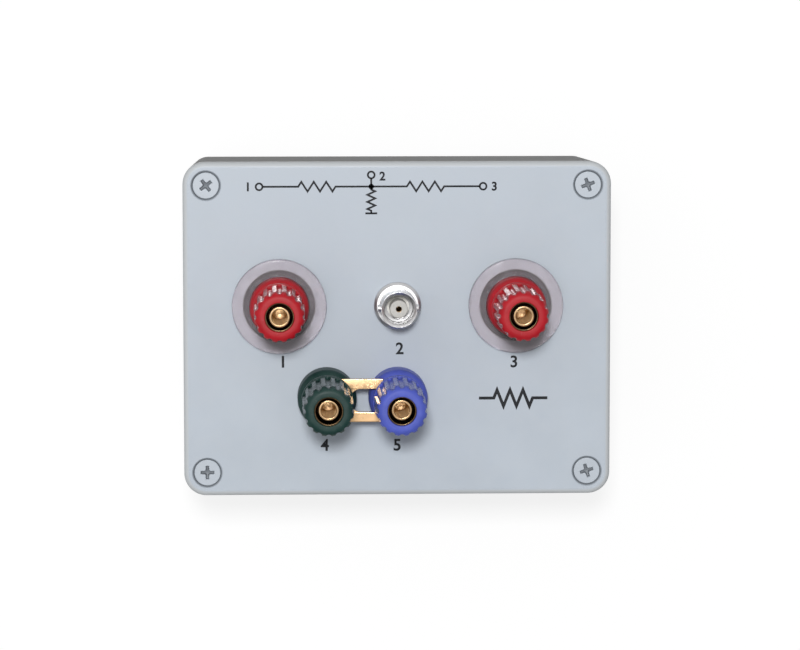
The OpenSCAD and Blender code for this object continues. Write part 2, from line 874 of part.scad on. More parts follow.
knob(output_at, signal_clamp_h, "crimson");  // output_knob
knob(ground_at, link_clamp_h, "darkgreen");  // ground_knob
knob(guard_at, link_clamp_h, "royalblue");  // guard_knob
knob_insert(source_at, signal_clamp_h);  // source_knob_insert
knob_insert(output_at, signal_clamp_h);  // output_knob_insert
knob_insert(ground_at, link_clamp_h);  // ground_knob_insert
knob_insert(guard_at, link_clamp_h);  // guard_knob_insert
shorting_link();
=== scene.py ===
"""Detailed meshes, finishes, studio and camera for a bench resistance standard in a die-cast box.

Lengths are in metres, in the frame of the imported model: the box lies on its back, +X runs to the
right of its panel, +Y to the top of the panel and +Z out of the panel.
"""
import logging
import math
from dataclasses import dataclass, replace
from enum import Enum
from typing import Sequence

import bmesh
import bpy
import numpy as np
from mathutils import Matrix, Vector
from mathutils.geometry import tessellate_polygon


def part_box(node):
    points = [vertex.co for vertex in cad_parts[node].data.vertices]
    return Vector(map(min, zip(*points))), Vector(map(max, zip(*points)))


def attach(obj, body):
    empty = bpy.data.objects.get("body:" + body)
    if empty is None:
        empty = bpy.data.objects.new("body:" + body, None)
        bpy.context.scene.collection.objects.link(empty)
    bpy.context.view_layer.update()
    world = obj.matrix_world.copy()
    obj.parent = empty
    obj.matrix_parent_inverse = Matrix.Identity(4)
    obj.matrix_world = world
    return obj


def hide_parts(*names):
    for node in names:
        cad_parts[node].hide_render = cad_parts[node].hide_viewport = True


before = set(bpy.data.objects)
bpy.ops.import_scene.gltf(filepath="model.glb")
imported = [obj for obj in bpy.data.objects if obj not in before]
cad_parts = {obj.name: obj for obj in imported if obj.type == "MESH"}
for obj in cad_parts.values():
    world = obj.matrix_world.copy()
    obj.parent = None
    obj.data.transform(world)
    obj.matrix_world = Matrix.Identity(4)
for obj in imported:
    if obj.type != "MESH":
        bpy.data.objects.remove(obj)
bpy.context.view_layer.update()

LOG = logging.getLogger("resistance_standard")
Pair = tuple[float, float]
# Red, green, blue and alpha, as light
Colour = tuple[float, float, float, float]
Array = np.ndarray
Node = bpy.types.Node
Socket = bpy.types.NodeSocket

MM = 0.001
TURN = 2 * math.pi
# Columns round a turned piece, and steps of an arc in a profile
COLUMNS = 96
ARC_STEPS = 5
# Radius under which a profile point counts as lying on the axis
ON_AXIS = 1e-7
# Share of a step that a whole number of steps may miss by rounding
ROUND_OFF = 1e-6
# Angle between two faces past which their shared edge stays sharp
SHARP_ANGLE = math.radians(32)
# Straight steps round each upright corner of the box
CORNER_STEPS = 14
# Roundings of small edges, from the finest to the softest
HAIR = 0.1 * MM
FINE = 0.15 * MM
SMALL = 0.2 * MM
EVEN = 0.25 * MM
SOFT = 0.3 * MM
# Distance between the rings of points down a long wall
LONG_STEP = 2 * MM
# How far past a surface a limit lies, so that the surface itself is inside it
PAST = 0.01 * MM
# Attribute that marks each point for painted shade, painted light and the like, as Shape tells
SHADE = "shade"


@dataclass
class Shape:
    """Points and faces of one or more closed surfaces.

    Attributes:
        points: One row of x, y and z for each point.
        faces: Blocks of faces, each an array with a row of point numbers for each face.
        shade: For each point 0 where the finish is plain, 1 in painted shade deep in a hollow and -1 where
            the
            finish changes the other way: painted light in a bore, the paler rim colour of the panel and the
            smoother sides of a knob; or None for 0 everywhere.
    """

    points: Array
    faces: list[Array]
    shade: Array | None = None

    def moved(self, x: float = 0.0, y: float = 0.0, z: float = 0.0) -> "Shape":
        """Returns the shape shifted by x, y and z."""
        return replace(self, points=self.points + np.array([x, y, z]))

    def turned(self, angle: float) -> "Shape":
        """Returns the shape turned about Z by an angle in radians."""
        c, s = math.cos(angle), math.sin(angle)
        return replace(self, points=self.points @ np.array([[c, s, 0], [-s, c, 0], [0, 0, 1]]))

    def laid_along_x(self) -> "Shape":
        """Returns the shape with its Z axis laid along X."""
        return replace(self, points=self.points[:, [2, 1, 0]] * [1, -1, 1])

    def away(self) -> Array:
        """Returns each point's distance from Z."""
        return np.hypot(self.points[:, 0], self.points[:, 1])

    def shades(self) -> Array:
        """Returns the shade of each point, 0 where nothing says otherwise."""
        return np.zeros(len(self.points)) if self.shade is None else self.shade

    def shaded_inside(self, radius: float, top: float, shades: dict[float, float],
                      bottom: float = -math.inf) -> "Shape":
        """Marks painted shade and painted light down the inside of a hole along Z.

        Args:
            radius: Distance from Z within which a point lies in the hole.
            top: Height from which depths count.
            shades: The painted shade at each depth, 1 dark and -1 bright, in order, read off evenly between
                them.
            bottom: Height under which the hole has ended.

        Returns:
            The same surface with its new shades.
        """
        height = self.points[:, 2]
        inside = (self.away() <= radius) & (height < top) & (height > bottom)
        deep = np.interp(top - height, list(shades), list(shades.values()))
        return replace(self, shade=np.where(inside, deep, self.shades()))

    @staticmethod
    def joined(shapes: Sequence["Shape"]) -> "Shape":
        """Joins shapes.

        Args:
            shapes: The shapes.

        Returns:
            All of them as one, each still a surface of its own.
        """
        starts = np.cumsum([0] + [len(shape.points) for shape in shapes[:-1]])
        faces = [block + start for shape, start in zip(shapes, starts) for block in shape.faces]
        return Shape(np.concatenate([shape.points for shape in shapes]), faces,
                     np.concatenate([shape.shades() for shape in shapes]))


def grid_faces(rows: int, columns: int, closed_rows: bool) -> Array:
    """Joins a grid of points into quads. Columns wrap round, so column j meets column j + 1.

    Args:
        rows: Number of rows of points.
        columns: Number of points in a row.
        closed_rows: Whether the last row meets the first.

    Returns:
        One row of four point numbers for each quad.
    """
    low = np.arange(rows if closed_rows else rows - 1)[:, None] * columns
    high = (low + columns) % (rows * columns)
    here = np.arange(columns)[None]
    there = (here + 1) % columns
    return np.stack([low + here, low + there, high + there, high + here], axis=-1).reshape(-1, 4)


def closed_grid(grid: Array, poles: Sequence[Array] = ()) -> Shape:
    """Makes a closed surface from a grid of points whose columns wrap round.

    Args:
        grid: Array of rows by columns by 3.
        poles: Two points that close the first and the last row, or none where the rows wrap too.

    Returns:
        The surface, with triangles round each pole.
    """
    rows, columns = grid.shape[:2]
    points = grid.reshape(-1, 3)
    faces = [grid_faces(rows, columns, not len(poles))]
    here = np.arange(columns)
    for pole, start in zip(range(len(poles)), (0, (rows - 1) * columns)):
        fan = np.stack([np.full(columns, len(points) + pole), start + here,
                        start + (here + 1) % columns], axis=-1)
        faces.append(fan)
    return Shape(np.concatenate([points, *[pole[None] for pole in poles]]), faces)


def around(columns: int) -> Array:
    """Returns the angles of a number of columns spaced evenly round an axis."""
    return np.arange(columns) * TURN / columns


def turned_grid(radius: Array, height: Array) -> Array:
    """Lays points round Z: radius r and height z in column a give (r cos a, r sin a, z).

    Args:
        radius: Array of rows by columns.
        height: Array of the same shape.

    Returns:
        Array of rows by columns by 3.
    """
    angle = around(radius.shape[1])
    return np.stack([radius * np.cos(angle), radius * np.sin(angle), height], axis=-1)


def pole_points(profile: Array) -> list[Array]:
    """Returns the points of a profile that lie on the axis."""
    return [np.array([0.0, 0.0, height]) for radius, height in profile if radius < ON_AXIS]


def off_axis(profile: Array, columns: int) -> tuple[Array, Array]:
    """Repeats the rows of a profile that lie off the axis in a number of columns.

    Args:
        profile: Rows of radius and height.
        columns: Number of points round the axis.

    Returns:
        Their radii and their heights, each an array of rows by columns.
    """
    ring = profile[profile[:, 0] >= ON_AXIS]
    return np.repeat(ring[:, :1], columns, axis=1), np.repeat(ring[:, 1:], columns, axis=1)


def revolved(profile: Array, columns: int = COLUMNS) -> Shape:
    """Turns a profile about Z.

    Args:
        profile: Rows of radius and height. It is a closed ring, or starts and ends on the axis.
        columns: Number of points round the axis.

    Returns:
        The closed surface.
    """
    return closed_grid(turned_grid(*off_axis(profile, columns)), pole_points(profile))


def densified(profile: Sequence[Sequence[float]], step: float) -> Array:
    """Adds points to a path, so that no two neighbours lie further apart than a step.

    Each straight stretch is cut into equal parts, and the points are read off along its length.

    Args:
        profile: Rows of coordinates.
        step: The step.

    Returns:
        The rows with the new ones between them.
    """
    profile = np.asarray(profile, float)
    lengths = np.linalg.norm(np.diff(profile, axis=0), axis=1)
    along = np.concatenate([[0], np.cumsum(lengths)])
    parts = np.maximum(1, np.ceil(lengths / step - ROUND_OFF)).astype(int)
    share = np.concatenate([np.arange(n) / n for n in parts])
    at = np.append(np.repeat(along[:-1], parts) + share * np.repeat(lengths, parts), along[-1])
    return np.stack([np.interp(at, along, profile[:, k]) for k in range(profile.shape[1])], axis=1)


def held(profile: Array, reach: float = 0.4 * MM) -> Array:
    """Adds a point near both ends of each long stretch of a profile.

    The shading and the wear of a rounded edge then end beside it and don't spread over a flat side.

    Args:
        profile: Rows of radius and height.
        reach: Distance of the new points from the ends. A stretch of more than 4 of it is long.

    Returns:
        The rows with the new ones between them.
    """
    made = [profile[:1]]
    for here, there in zip(profile[:-1], profile[1:]):
        length = np.linalg.norm(there - here)
        if length > 4 * reach:
            made.append(here + (there - here) * np.array([[reach], [length - reach]]) / length)
        made.append(there[None])
    return np.concatenate(made)


def filleted(corners: Sequence[tuple[float, ...]], steps: int = ARC_STEPS) -> Array:
    """Draws an outline with arcs in its corners.

    The centre of an arc lies on the corner's bisector. With a and b the lines from the centre to
    the two tangent points and w the angle between them, the arc's points are the centre plus
    (sin((1 - s) w) a + sin(s w) b) / sin w, for s from 0 to 1.

    Args:
        corners: (x, y, radius) of each corner, or (x, y) where it stays sharp, as the ends of an
            open outline do.
        steps: Number of straight steps in each arc.

    Returns:
        Rows of x and y.
    """
    points = np.array([corner[:2] for corner in corners], float)
    s = np.linspace(0, 1, steps + 1)[:, None]
    made = []
    for i, corner in enumerate(corners):
        here = points[i]
        if len(corner) == 2:
            made.append(here[None])
            continue
        radius = corner[2]
        before = points[i - 1] - here
        after = points[(i + 1) % len(points)] - here
        before /= np.linalg.norm(before)
        after /= np.linalg.norm(after)
        half = math.acos(before @ after) / 2
        middle = (before + after) / np.linalg.norm(before + after)
        centre = here + middle * radius / math.sin(half)
        a = here + before * radius / math.tan(half) - centre
        b = here + after * radius / math.tan(half) - centre
        turn = math.pi - 2 * half
        made.append(centre + (np.sin((1 - s) * turn) * a + np.sin(s * turn) * b) / math.sin(turn))
    return np.concatenate(made)


def circle_loop(x: float, y: float, radius: float, height: float, steps: int = COLUMNS) -> Array:
    """Draws a level circle.

    Args:
        x, y: Its centre.
        radius: Its radius.
        height: Its height.
        steps: Number of points.

    Returns:
        Rows of x, y and z.
    """
    angle = around(steps)
    return np.stack([x + radius * np.cos(angle), y + radius * np.sin(angle),
                     np.full(steps, height)], axis=-1)


def loops_down(x: float, y: float, section: Sequence[Pair]) -> list[Array]:
    """Returns the loops down a round hole at x and y from the radii and heights of its section."""
    return [circle_loop(x, y, radius, height) for radius, height in section]


def flat_face(loops: Sequence[Array], starts: Sequence[int]) -> Array:
    """Fills a level outline that has holes.

    Args:
        loops: The outer loop and then each hole, as rows of x, y and z.
        starts: Number of the first point of each loop in the whole shape.

    Returns:
        One row of three point numbers for each triangle.
    """
    numbers = np.concatenate([start + np.arange(len(loop)) for loop, start in zip(loops, starts)])
    triangles = tessellate_polygon([[Vector(point) for point in loop] for loop in loops])
    return numbers[np.array(triangles)]


def plate(outer: Sequence[Array], holes: Sequence[Sequence[Array]] = ()) -> Shape:
    """Makes a closed plate from the loops down its edge and down each of its holes.

    Args:
        outer: Loops of the edge, from the front face to the back face.
        holes: The same for each hole.

    Returns:
        The plate, with quads between the loops and triangles on its two flat faces.
    """
    stacks = [outer, *holes]
    starts = np.cumsum([0] + [sum(len(loop) for loop in stack) for stack in stacks])
    points = np.concatenate([np.concatenate(list(stack)) for stack in stacks])
    faces = [grid_faces(len(stack), len(stack[0]), False) + start
             for stack, start in zip(stacks, starts)]
    ends = [start + (len(stack) - 1) * len(stack[0]) for stack, start in zip(stacks, starts)]
    faces.append(flat_face([stack[0] for stack in stacks], starts[:-1]))
    faces.append(flat_face([stack[-1] for stack in stacks], ends))
    return Shape(points, faces)


def mitred(path: Array, closed: bool) -> Array:
    """Works out how each point of a path moves as the path shifts to its left by 1.

    With a and b the unit normals of the two sides at a point, the point moves by
    (a + b) / (1 + a dot b), so that both sides move by 1.

    Args:
        path: Rows of x and y.
        closed: Whether the path's end meets its start.

    Returns:
        The move of each point.
    """
    along = np.diff(np.vstack([path, path[:1]]), axis=0)
    along /= np.linalg.norm(along, axis=1)[:, None]
    if not closed:
        along[-1] = along[-2]
    after = along[:, ::-1] * [-1, 1]
    before = np.roll(after, 1, axis=0)
    if not closed:
        before[0] = after[0]
    total = before + after
    return total / np.sum(total * after, axis=1)[:, None]


def strip(path: Array, width: float, low: float, high: float, closed: bool = False) -> Shape:
    """Carries a flat rectangle along a level path, with mitred bends.

    The two sides lie half a width off the path, as mitred says, so the line keeps its width
    through a bend.

    Args:
        path: Rows of x and y.
        width: Width of the line.
        low: Height of its lower face.
        high: Height of its upper face.
        closed: Whether the path's end meets its start.

    Returns:
        The line as a closed solid.
    """
    shift = mitred(path, closed) * width / 2
    sides = np.stack([path + shift, path - shift], axis=1)
    grid = np.concatenate([np.dstack([sides, np.full(sides.shape[:2], low)]),
                           np.dstack([sides[:, ::-1], np.full(sides.shape[:2], high)])], axis=1)
    shape = Shape(grid.reshape(-1, 3), [grid_faces(len(path), 4, closed)])
    if not closed:
        shape.faces.append(np.array([[0, 1, 2, 3], np.arange(4) + 4 * (len(path) - 1)]))
    return shape


def placed(name: str, data: bpy.types.ID) -> bpy.types.Object:
    """Puts a mesh, text, lamp or camera into a new object of the scene.

    Args:
        name: Name of the object.
        data: What it shows.

    Returns:
        The object.
    """
    made = bpy.data.objects.new(name, data)
    bpy.context.scene.collection.objects.link(made)
    return made


def new_mesh_object(name: str, shape: Shape) -> bpy.types.Object:
    """Puts a shape into a new mesh object, smooth but for its sharp edges, faces outwards.

    Args:
        name: Name of the object and of its mesh.
        shape: The shape.

    Returns:
        The object, in the scene.
    """
    mesh = bpy.data.meshes.new(name)
    mesh.from_pydata(shape.points.tolist(), [], [face for rows in shape.faces for face in rows.tolist()])
    mesh.attributes.new(SHADE, "FLOAT", "POINT").data.foreach_set("value", shape.shades())
    work = bmesh.new()
    work.from_mesh(mesh)
    bmesh.ops.recalc_face_normals(work, faces=work.faces)
    work.to_mesh(mesh)
    work.free()
    mesh.shade_smooth()
    mesh.set_sharp_from_angle(angle=SHARP_ANGLE)
    return placed(name, mesh)


def cut_away(piece: bpy.types.Object, bit: Shape) -> None:
    """Cuts a shape out of an object, as an exact difference that is applied at once.

    Args:
        piece: The object.
        bit: The shape.
    """
    cutter = new_mesh_object("bit", bit)
    cut = piece.modifiers.new("cut", "BOOLEAN")
    cut.object, cut.operation, cut.solver = cutter, "DIFFERENCE", "EXACT"
    seen = piece.evaluated_get(bpy.context.evaluated_depsgraph_get())
    piece.data = bpy.data.meshes.new_from_object(seen)
    piece.modifiers.remove(cut)
    bpy.data.objects.remove(cutter)
    piece.data.set_sharp_from_angle(angle=SHARP_ANGLE)


def linear(red: float, green: float, blue: float) -> Colour:
    """Turns a displayed colour of 0 to 255 into light: ((c + 0.055) / 1.055) to the power 2.4."""
    shares = [((channel / 255 + 0.055) / 1.055) ** 2.4 for channel in (red, green, blue)]
    return shares[0], shares[1], shares[2], 1.0


def scaled(colour: Colour, share: float) -> Colour:
    """Returns a colour made darker or lighter by a share, kept under full white."""
    red, green, blue = (min(1.0, channel * share) for channel in colour[:3])
    return red, green, blue, 1.0


class Effect(Enum):
    """Effects on a surface that several finishes share, each a node group."""

    GRAIN = "surface_grain"
    RINGS = "turned_rings"
    WEAR = "edge_wear"
    DUST = "settled_dust"


class Graph:
    """A node tree in the making, with short calls that add and feed its nodes."""

    def __init__(self, tree: bpy.types.NodeTree) -> None:
        """Starts with a tree that already exists."""
        self.tree = tree

    @staticmethod
    def of(owner: bpy.types.Material | bpy.types.World) -> "Graph":
        """Empties the nodes of a new material or sky.

        Args:
            owner: The material or the sky.

        Returns:
            Its graph.
        """
        owner.use_nodes = True
        owner.node_tree.nodes.clear()
        return Graph(owner.node_tree)

    def feed(self, node: Node, feeds: dict) -> None:
        """Feeds a node's inputs.

        Args:
            node: The node.
            feeds: For each input, by name or number, a value or the socket that feeds it.
        """
        for name, value in feeds.items():
            if isinstance(value, Socket):
                self.tree.links.new(value, node.inputs[name])
            else:
                node.inputs[name].default_value = value

    def add(self, kind: str, feeds: dict | None = None, **settings: object) -> Node:
        """Adds a node.

        Args:
            kind: Blender's name of the node.
            feeds: For each input, by name or number, a value or the socket that feeds it.
            settings: Properties of the node itself.

        Returns:
            The node.
        """
        node = self.tree.nodes.new(kind)
        for name, value in settings.items():
            setattr(node, name, value)
        self.feed(node, feeds or {})
        return node

    def noise(self, vector: Socket, size: object, detail: float = 2.0) -> Socket:
        """Returns a noise of 0 to 1 whose patches have a size in metres, given as a number or socket."""
        return self.add("ShaderNodeTexNoise", {
            "Vector": vector, "Scale": self.math("DIVIDE", 1.0, size), "Detail": detail}).outputs["Fac"]

    def math(self, operation: str, first: object, second: object = 0.0) -> Socket:
        """Returns the result of a Math node on two numbers or sockets."""
        return self.add("ShaderNodeMath", {0: first, 1: second}, operation=operation).outputs[0]

    def times(self, first: object, second: object) -> Socket:
        """Returns the product of two numbers or sockets."""
        return self.math("MULTIPLY", first, second)

    def plus(self, first: object, second: object) -> Socket:
        """Returns the sum of two numbers or sockets."""
        return self.math("ADD", first, second)

    def spread(self, value: object, low: float, high: float, to_low: float = 0.0,
               to_high: float = 1.0) -> Socket:
        """Returns a value stretched from one range to another, held within it."""
        return self.add("ShaderNodeMapRange", {"Value": value, "From Min": low, "From Max": high,
                                               "To Min": to_low, "To Max": to_high}).outputs["Result"]

    def mixed(self, share: object, first: object, second: object) -> Socket:
        """Returns the mix of two colours, all first at share 0 and all second at share 1."""
        return self.add("ShaderNodeMix", {0: share, 6: first, 7: second}, data_type="RGBA").outputs[2]

    def height_of(self, vector: Socket) -> Socket:
        """Returns the Z of a vector."""
        return self.add("ShaderNodeSeparateXYZ", {0: vector}).outputs["Z"]

    def upward(self) -> Socket:
        """Returns how far the surface faces up: 1 on a level face and 0 on an upright one."""
        return self.height_of(self.add("ShaderNodeNewGeometry").outputs["Normal"])

    def shade(self) -> Socket:
        """Reads the shade of the surface, as Shape tells."""
        return self.add("ShaderNodeAttribute", attribute_name=SHADE).outputs["Fac"]

    def dark(self) -> Socket:
        """Returns how deep the painted shade on the surface is, from 0 to 1."""
        return self.spread(self.shade(), 0.0, 1.0)

    def bright(self) -> Socket:
        """Returns how far the surface is marked bright, from 0 to 1: painted light, the paler rim or
        smoother sides.
        """
        return self.spread(self.shade(), -1.0, 0.0, 1.0, 0.0)

    def effect(self, effect: Effect, place: Socket, **values: float) -> list[Socket]:
        """Places an effect.

        Args:
            effect: The effect.
            place: The vector that it follows.
            values: Its own values, named as its inputs, with _ for a space.

        Returns:
            Its outputs.
        """
        feeds = {name.replace("_", " "): value for name, value in values.items()} | {"Vector": place}
        group = bpy.data.node_groups[effect.value]
        return list(self.add("ShaderNodeGroup", feeds, node_tree=group).outputs)


def start_effect(effect: Effect, inputs: dict[str, float],
                 outputs: Sequence[str]) -> tuple[Graph, Node, list[Socket]]:
    """Makes an empty node group with a Vector input, number inputs and number outputs.

    Args:
        effect: The effect, whose value is the group's name.
        inputs: Name and usual value of each number input.
        outputs: Names of the outputs.

    Returns:
        The group's graph, its output node, and the sockets that give the vector and each input.
    """
    tree = bpy.data.node_groups.new(effect.value, "ShaderNodeTree")
    tree.interface.new_socket("Vector", in_out="INPUT", socket_type="NodeSocketVector")
    for name, usual in inputs.items():
        tree.interface.new_socket(name, in_out="INPUT", socket_type="NodeSocketFloat").default_value = usual
    for name in outputs:
        tree.interface.new_socket(name, in_out="OUTPUT", socket_type="NodeSocketFloat")
    graph = Graph(tree)
    given = graph.add("NodeGroupInput").outputs
    return graph, graph.add("NodeGroupOutput"), [given[name] for name in ("Vector", *inputs)]


def make_effects() -> None:
    """Builds the four shared node groups.

    Grain is fine noise with noise of about twice its size, and Blotch is broad noise with its contrast
    raised. Rings are sine bands along Z, as a lathe leaves on a turned piece. Wear is how far an
    edge stands out, broken up by noise. Dust is how far a surface faces up, broken up by noise.
    """
    coarseness = 2.3
    blotch_range, chip_range, patch_range = (0.32, 0.68), (0.45, 0.6), (0.35, 0.75)
    edge_range, slope_range = (0.0, 0.05), (0.4, 1.0)

    graph, made, (vector, size, broad) = start_effect(
        Effect.GRAIN, {"Size": 0.3 * MM, "Blotch Size": 14 * MM}, ("Height", "Blotch"))
    coarse = graph.noise(vector, graph.times(size, coarseness))
    both = graph.plus(graph.noise(vector, size, 3.0), coarse)
    graph.feed(made, {"Height": graph.times(both, 0.5),
                      "Blotch": graph.spread(graph.noise(vector, broad, 4.0), *blotch_range)})

    graph, made, (vector, spacing) = start_effect(Effect.RINGS, {"Spacing": 0.12 * MM}, ("Height",))
    turns = graph.math("DIVIDE", graph.times(graph.height_of(vector), TURN), spacing)
    band = graph.spread(graph.math("SINE", turns), -1.0, 1.0)
    graph.feed(made, {"Height": graph.times(band, graph.noise(vector, 0.5 * MM))})

    graph, made, (vector, start, size) = start_effect(
        Effect.WEAR, {"Start": 0.53, "Size": 0.6 * MM}, ("Mask",))
    edge = graph.add("ShaderNodeNewGeometry").outputs["Pointiness"]
    raised = graph.spread(graph.math("SUBTRACT", edge, start), *edge_range)
    chipped = graph.spread(graph.noise(vector, size, 4.0), *chip_range)
    graph.feed(made, {"Mask": graph.times(raised, chipped)})

    graph, made, (vector, size) = start_effect(Effect.DUST, {"Size": 4 * MM}, ("Mask",))
    patch = graph.spread(graph.noise(vector, size, 6.0), *patch_range)
    facing = graph.spread(graph.upward(), *slope_range)
    graph.feed(made, {"Mask": graph.times(facing, patch)})


@dataclass(frozen=True)
class Finish:
    """What every finish has. Sizes are in metres and colours are light, not display values.

    Attributes:
        name: The record's slot, except for the ink, which has none.
        colour: Colour of the clean surface.
        roughness: Roughness of the clean surface.
        grain: Size of the finest grain.
        relief: Height of the grain.
    """

    name: str
    colour: Colour
    roughness: float
    grain: float = 0.3 * MM
    relief: float = 0.004 * MM

    def material(self) -> bpy.types.Material:
        """Makes the finish's material on its first use.

        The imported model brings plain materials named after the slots, so this one's name differs.

        Returns:
            The material.
        """
        name = f"{self.name}_finish"
        found = bpy.data.materials.get(name)
        if found is not None:
            return found
        made = bpy.data.materials.new(name)
        made.diffuse_color = self.colour
        graph = Graph.of(made)
        place = graph.add("ShaderNodeTexCoord").outputs["Object"]
        shader = self.shader(graph, place)
        graph.add("ShaderNodeOutputMaterial", {"Surface": shader.outputs[0]})
        return made

    def bump(self, graph: Graph, height: Socket) -> Socket:
        """Returns the normal of a surface with the finish's relief."""
        return graph.add("ShaderNodeBump", {"Strength": 1.0, "Distance": self.relief,
                                            "Height": height}).outputs["Normal"]

    def shader(self, graph: Graph, place: Socket) -> Node:
        """Builds the shader. Each kind of finish has its own.

        Args:
            graph: The material's graph.
            place: The point's place on the piece.

        Returns:
            The shader's node.
        """
        raise NotImplementedError


@dataclass(frozen=True)
class Glossy(Finish):
    """What paint and moulded plastic share: dust, rubbed places, painted shade in the hollows and a gloss.

    Attributes:
        dust: Share of dust on surfaces that face up.
        dusty: Colour of the dust.
        worn: Colour where an edge or a ridge is rubbed.
        shine: Strength of the gloss.
        sweep: How far the roughness varies either way.
        sunk: Share of the colour that is left where the painted shade is darkest.
    """

    dust: float = 0.05
    dusty: Colour = linear(224, 222, 216)
    worn: Colour = linear(208, 210, 212)
    shine: float = 0.4
    sweep: float = 0.04
    sunk: float = 0.12

    def glossed(self, graph: Graph, colour: Socket, rough: Socket, height: Socket) -> Node:
        """Makes the shader, with painted shade in the hollows.

        Args:
            graph: The material's graph.
            colour: The surface's colour.
            rough: Its roughness.
            height: Height of its grain.

        Returns:
            The shader's node.
        """
        # Painted shade: the colour darkens where the shade attribute marks a hollow
        colour = graph.mixed(graph.dark(), colour, scaled(self.colour, self.sunk))
        return graph.add("ShaderNodeBsdfPrincipled", {
            "Base Color": colour, "Roughness": rough, "Normal": self.bump(graph, height),
            "Specular IOR Level": self.shine})


@dataclass(frozen=True)
class Paint(Glossy):
    """Sprayed satin paint: fine orange peel, faint mottling, dust on top and worn edges.

    Attributes:
        mottle: Share by which the colour varies from place to place.
        edge: Paler, less blue colour on the panel's rounded rim, where the shade attribute is below 0.
        level: How far up a face looks where wear starts to fade, and where it has gone.
    """

    mottle: float = 0.025
    edge: Colour | None = None
    level: Pair = (0.95, 0.99)

    def shader(self, graph: Graph, place: Socket) -> Node:
        """Mixes the mottled colour with the rim colour, dust and wear, with painted shade in the hollows,
        as Finish.shader tells.
        """
        height, blotch = graph.effect(Effect.GRAIN, place, Size=self.grain)
        wear, = graph.effect(Effect.WEAR, place)
        dust, = graph.effect(Effect.DUST, place)
        colour = graph.mixed(blotch, scaled(self.colour, 1 - self.mottle),
                             scaled(self.colour, 1 + self.mottle))
        if self.edge is not None:
            # The rounded rim takes the paler edge colour
            colour = graph.mixed(graph.bright(), colour, self.edge)
        settled = graph.times(dust, self.dust)
        colour = graph.mixed(settled, colour, self.dusty)
        sloping = graph.spread(graph.upward(), *self.level, 0.5, 0.0)
        rubbed = graph.times(wear, sloping)
        colour = graph.mixed(rubbed, colour, self.worn)
        rough = graph.spread(blotch, 0.0, 1.0,
                             self.roughness - self.sweep, self.roughness + self.sweep)
        return self.glossed(graph, colour, graph.plus(rough, settled), height)


@dataclass(frozen=True)
class Moulding(Glossy):
    """Glossy moulded plastic: smooth, a little paler on rubbed ridges and with painted shade in its
    hollows.

    Attributes:
        pale: Share of white that rubbed ridges gain.
        handled: Roughness where the shade is bright: on the sides that fingers polish.
        swirl: Shares of the colour in its darkest and its palest swirls.
    """

    dust: float = 0.02
    dusty: Colour = linear(215, 212, 205)
    worn: Colour = linear(225, 222, 220)
    shine: float = 0.26
    sweep: float = 0.05
    sunk: float = 0.15
    pale: float = 0.05
    handled: float = 0.27
    swirl: Pair = (0.9, 1.08)

    def shader(self, graph: Graph, place: Socket) -> Node:
        """Mixes the colour with rubbed ridges and dust and varies the gloss, as Finish.shader tells."""
        height, blotch = graph.effect(Effect.GRAIN, place, Size=self.grain, Blotch_Size=3 * MM)
        wear, = graph.effect(Effect.WEAR, place, Start=0.52, Size=0.4 * MM)
        dust, = graph.effect(Effect.DUST, place, Size=1.5 * MM)
        colour = graph.mixed(blotch, *(scaled(self.colour, share) for share in self.swirl))
        rubbed = graph.times(wear, self.pale)
        colour = graph.mixed(rubbed, colour, self.worn)
        settled = graph.times(dust, self.dust)
        colour = graph.mixed(settled, colour, self.dusty)
        handled = graph.spread(graph.bright(), 0.0, 1.0, self.roughness, self.handled)
        rough = graph.spread(blotch, 0.0, 1.0, -self.sweep, self.sweep)
        rough = graph.plus(graph.plus(rough, handled), graph.times(rubbed, 0.5))
        return self.glossed(graph, colour, rough, height)


@dataclass(frozen=True)
class ClearPlastic(Finish):
    """Clear plastic with a slight milkiness and fine surface haze.

    Attributes:
        clearness: Share of the light that passes through.
        bending: Index of refraction.
        passed: Colour of the light of lamps that reaches what lies behind.
        behind: Dark colour painted where the shade is dark, deep in a hole: painted shade for the little
            light that comes back.
        milk: Share of the colour in its dullest patches.
        sweep: Share by which the roughness varies either way.
        dust: How much rougher dust makes the surface.
    """

    clearness: float = 0.85
    bending: float = 1.49
    passed: Colour = linear(228, 226, 228)
    behind: Colour = linear(84, 80, 96)
    milk: float = 0.97
    sweep: float = 0.3
    dust: float = 0.08

    def shader(self, graph: Graph, place: Socket) -> Node:
        """Varies haze and tint, paints shade deep in holes and lets the light of lamps through, as
        Finish.shader tells.
        """
        height, blotch = graph.effect(Effect.GRAIN, place, Size=self.grain, Blotch_Size=5 * MM)
        dust, = graph.effect(Effect.DUST, place, Size=1.2 * MM)
        colour = graph.mixed(blotch, scaled(self.colour, self.milk), self.colour)
        # Painted shade: deep in a hole the colour turns dark
        colour = graph.mixed(graph.dark(), colour, self.behind)
        rough = graph.spread(blotch, 0.0, 1.0,
                             self.roughness * (1 - self.sweep), self.roughness * (1 + self.sweep))
        rough = graph.plus(rough, graph.times(dust, self.dust))
        normal = self.bump(graph, height)
        glass = graph.add("ShaderNodeBsdfPrincipled", {
            "Base Color": colour, "Roughness": rough, "Normal": normal, "IOR": self.bending,
            "Transmission Weight": self.clearness}).outputs["BSDF"]
        through = graph.add("ShaderNodeBsdfTransparent", {"Color": self.passed}).outputs["BSDF"]
        shadow = graph.add("ShaderNodeLightPath").outputs["Is Shadow Ray"]
        return graph.add("ShaderNodeMixShader", {0: shadow, 1: glass, 2: through})


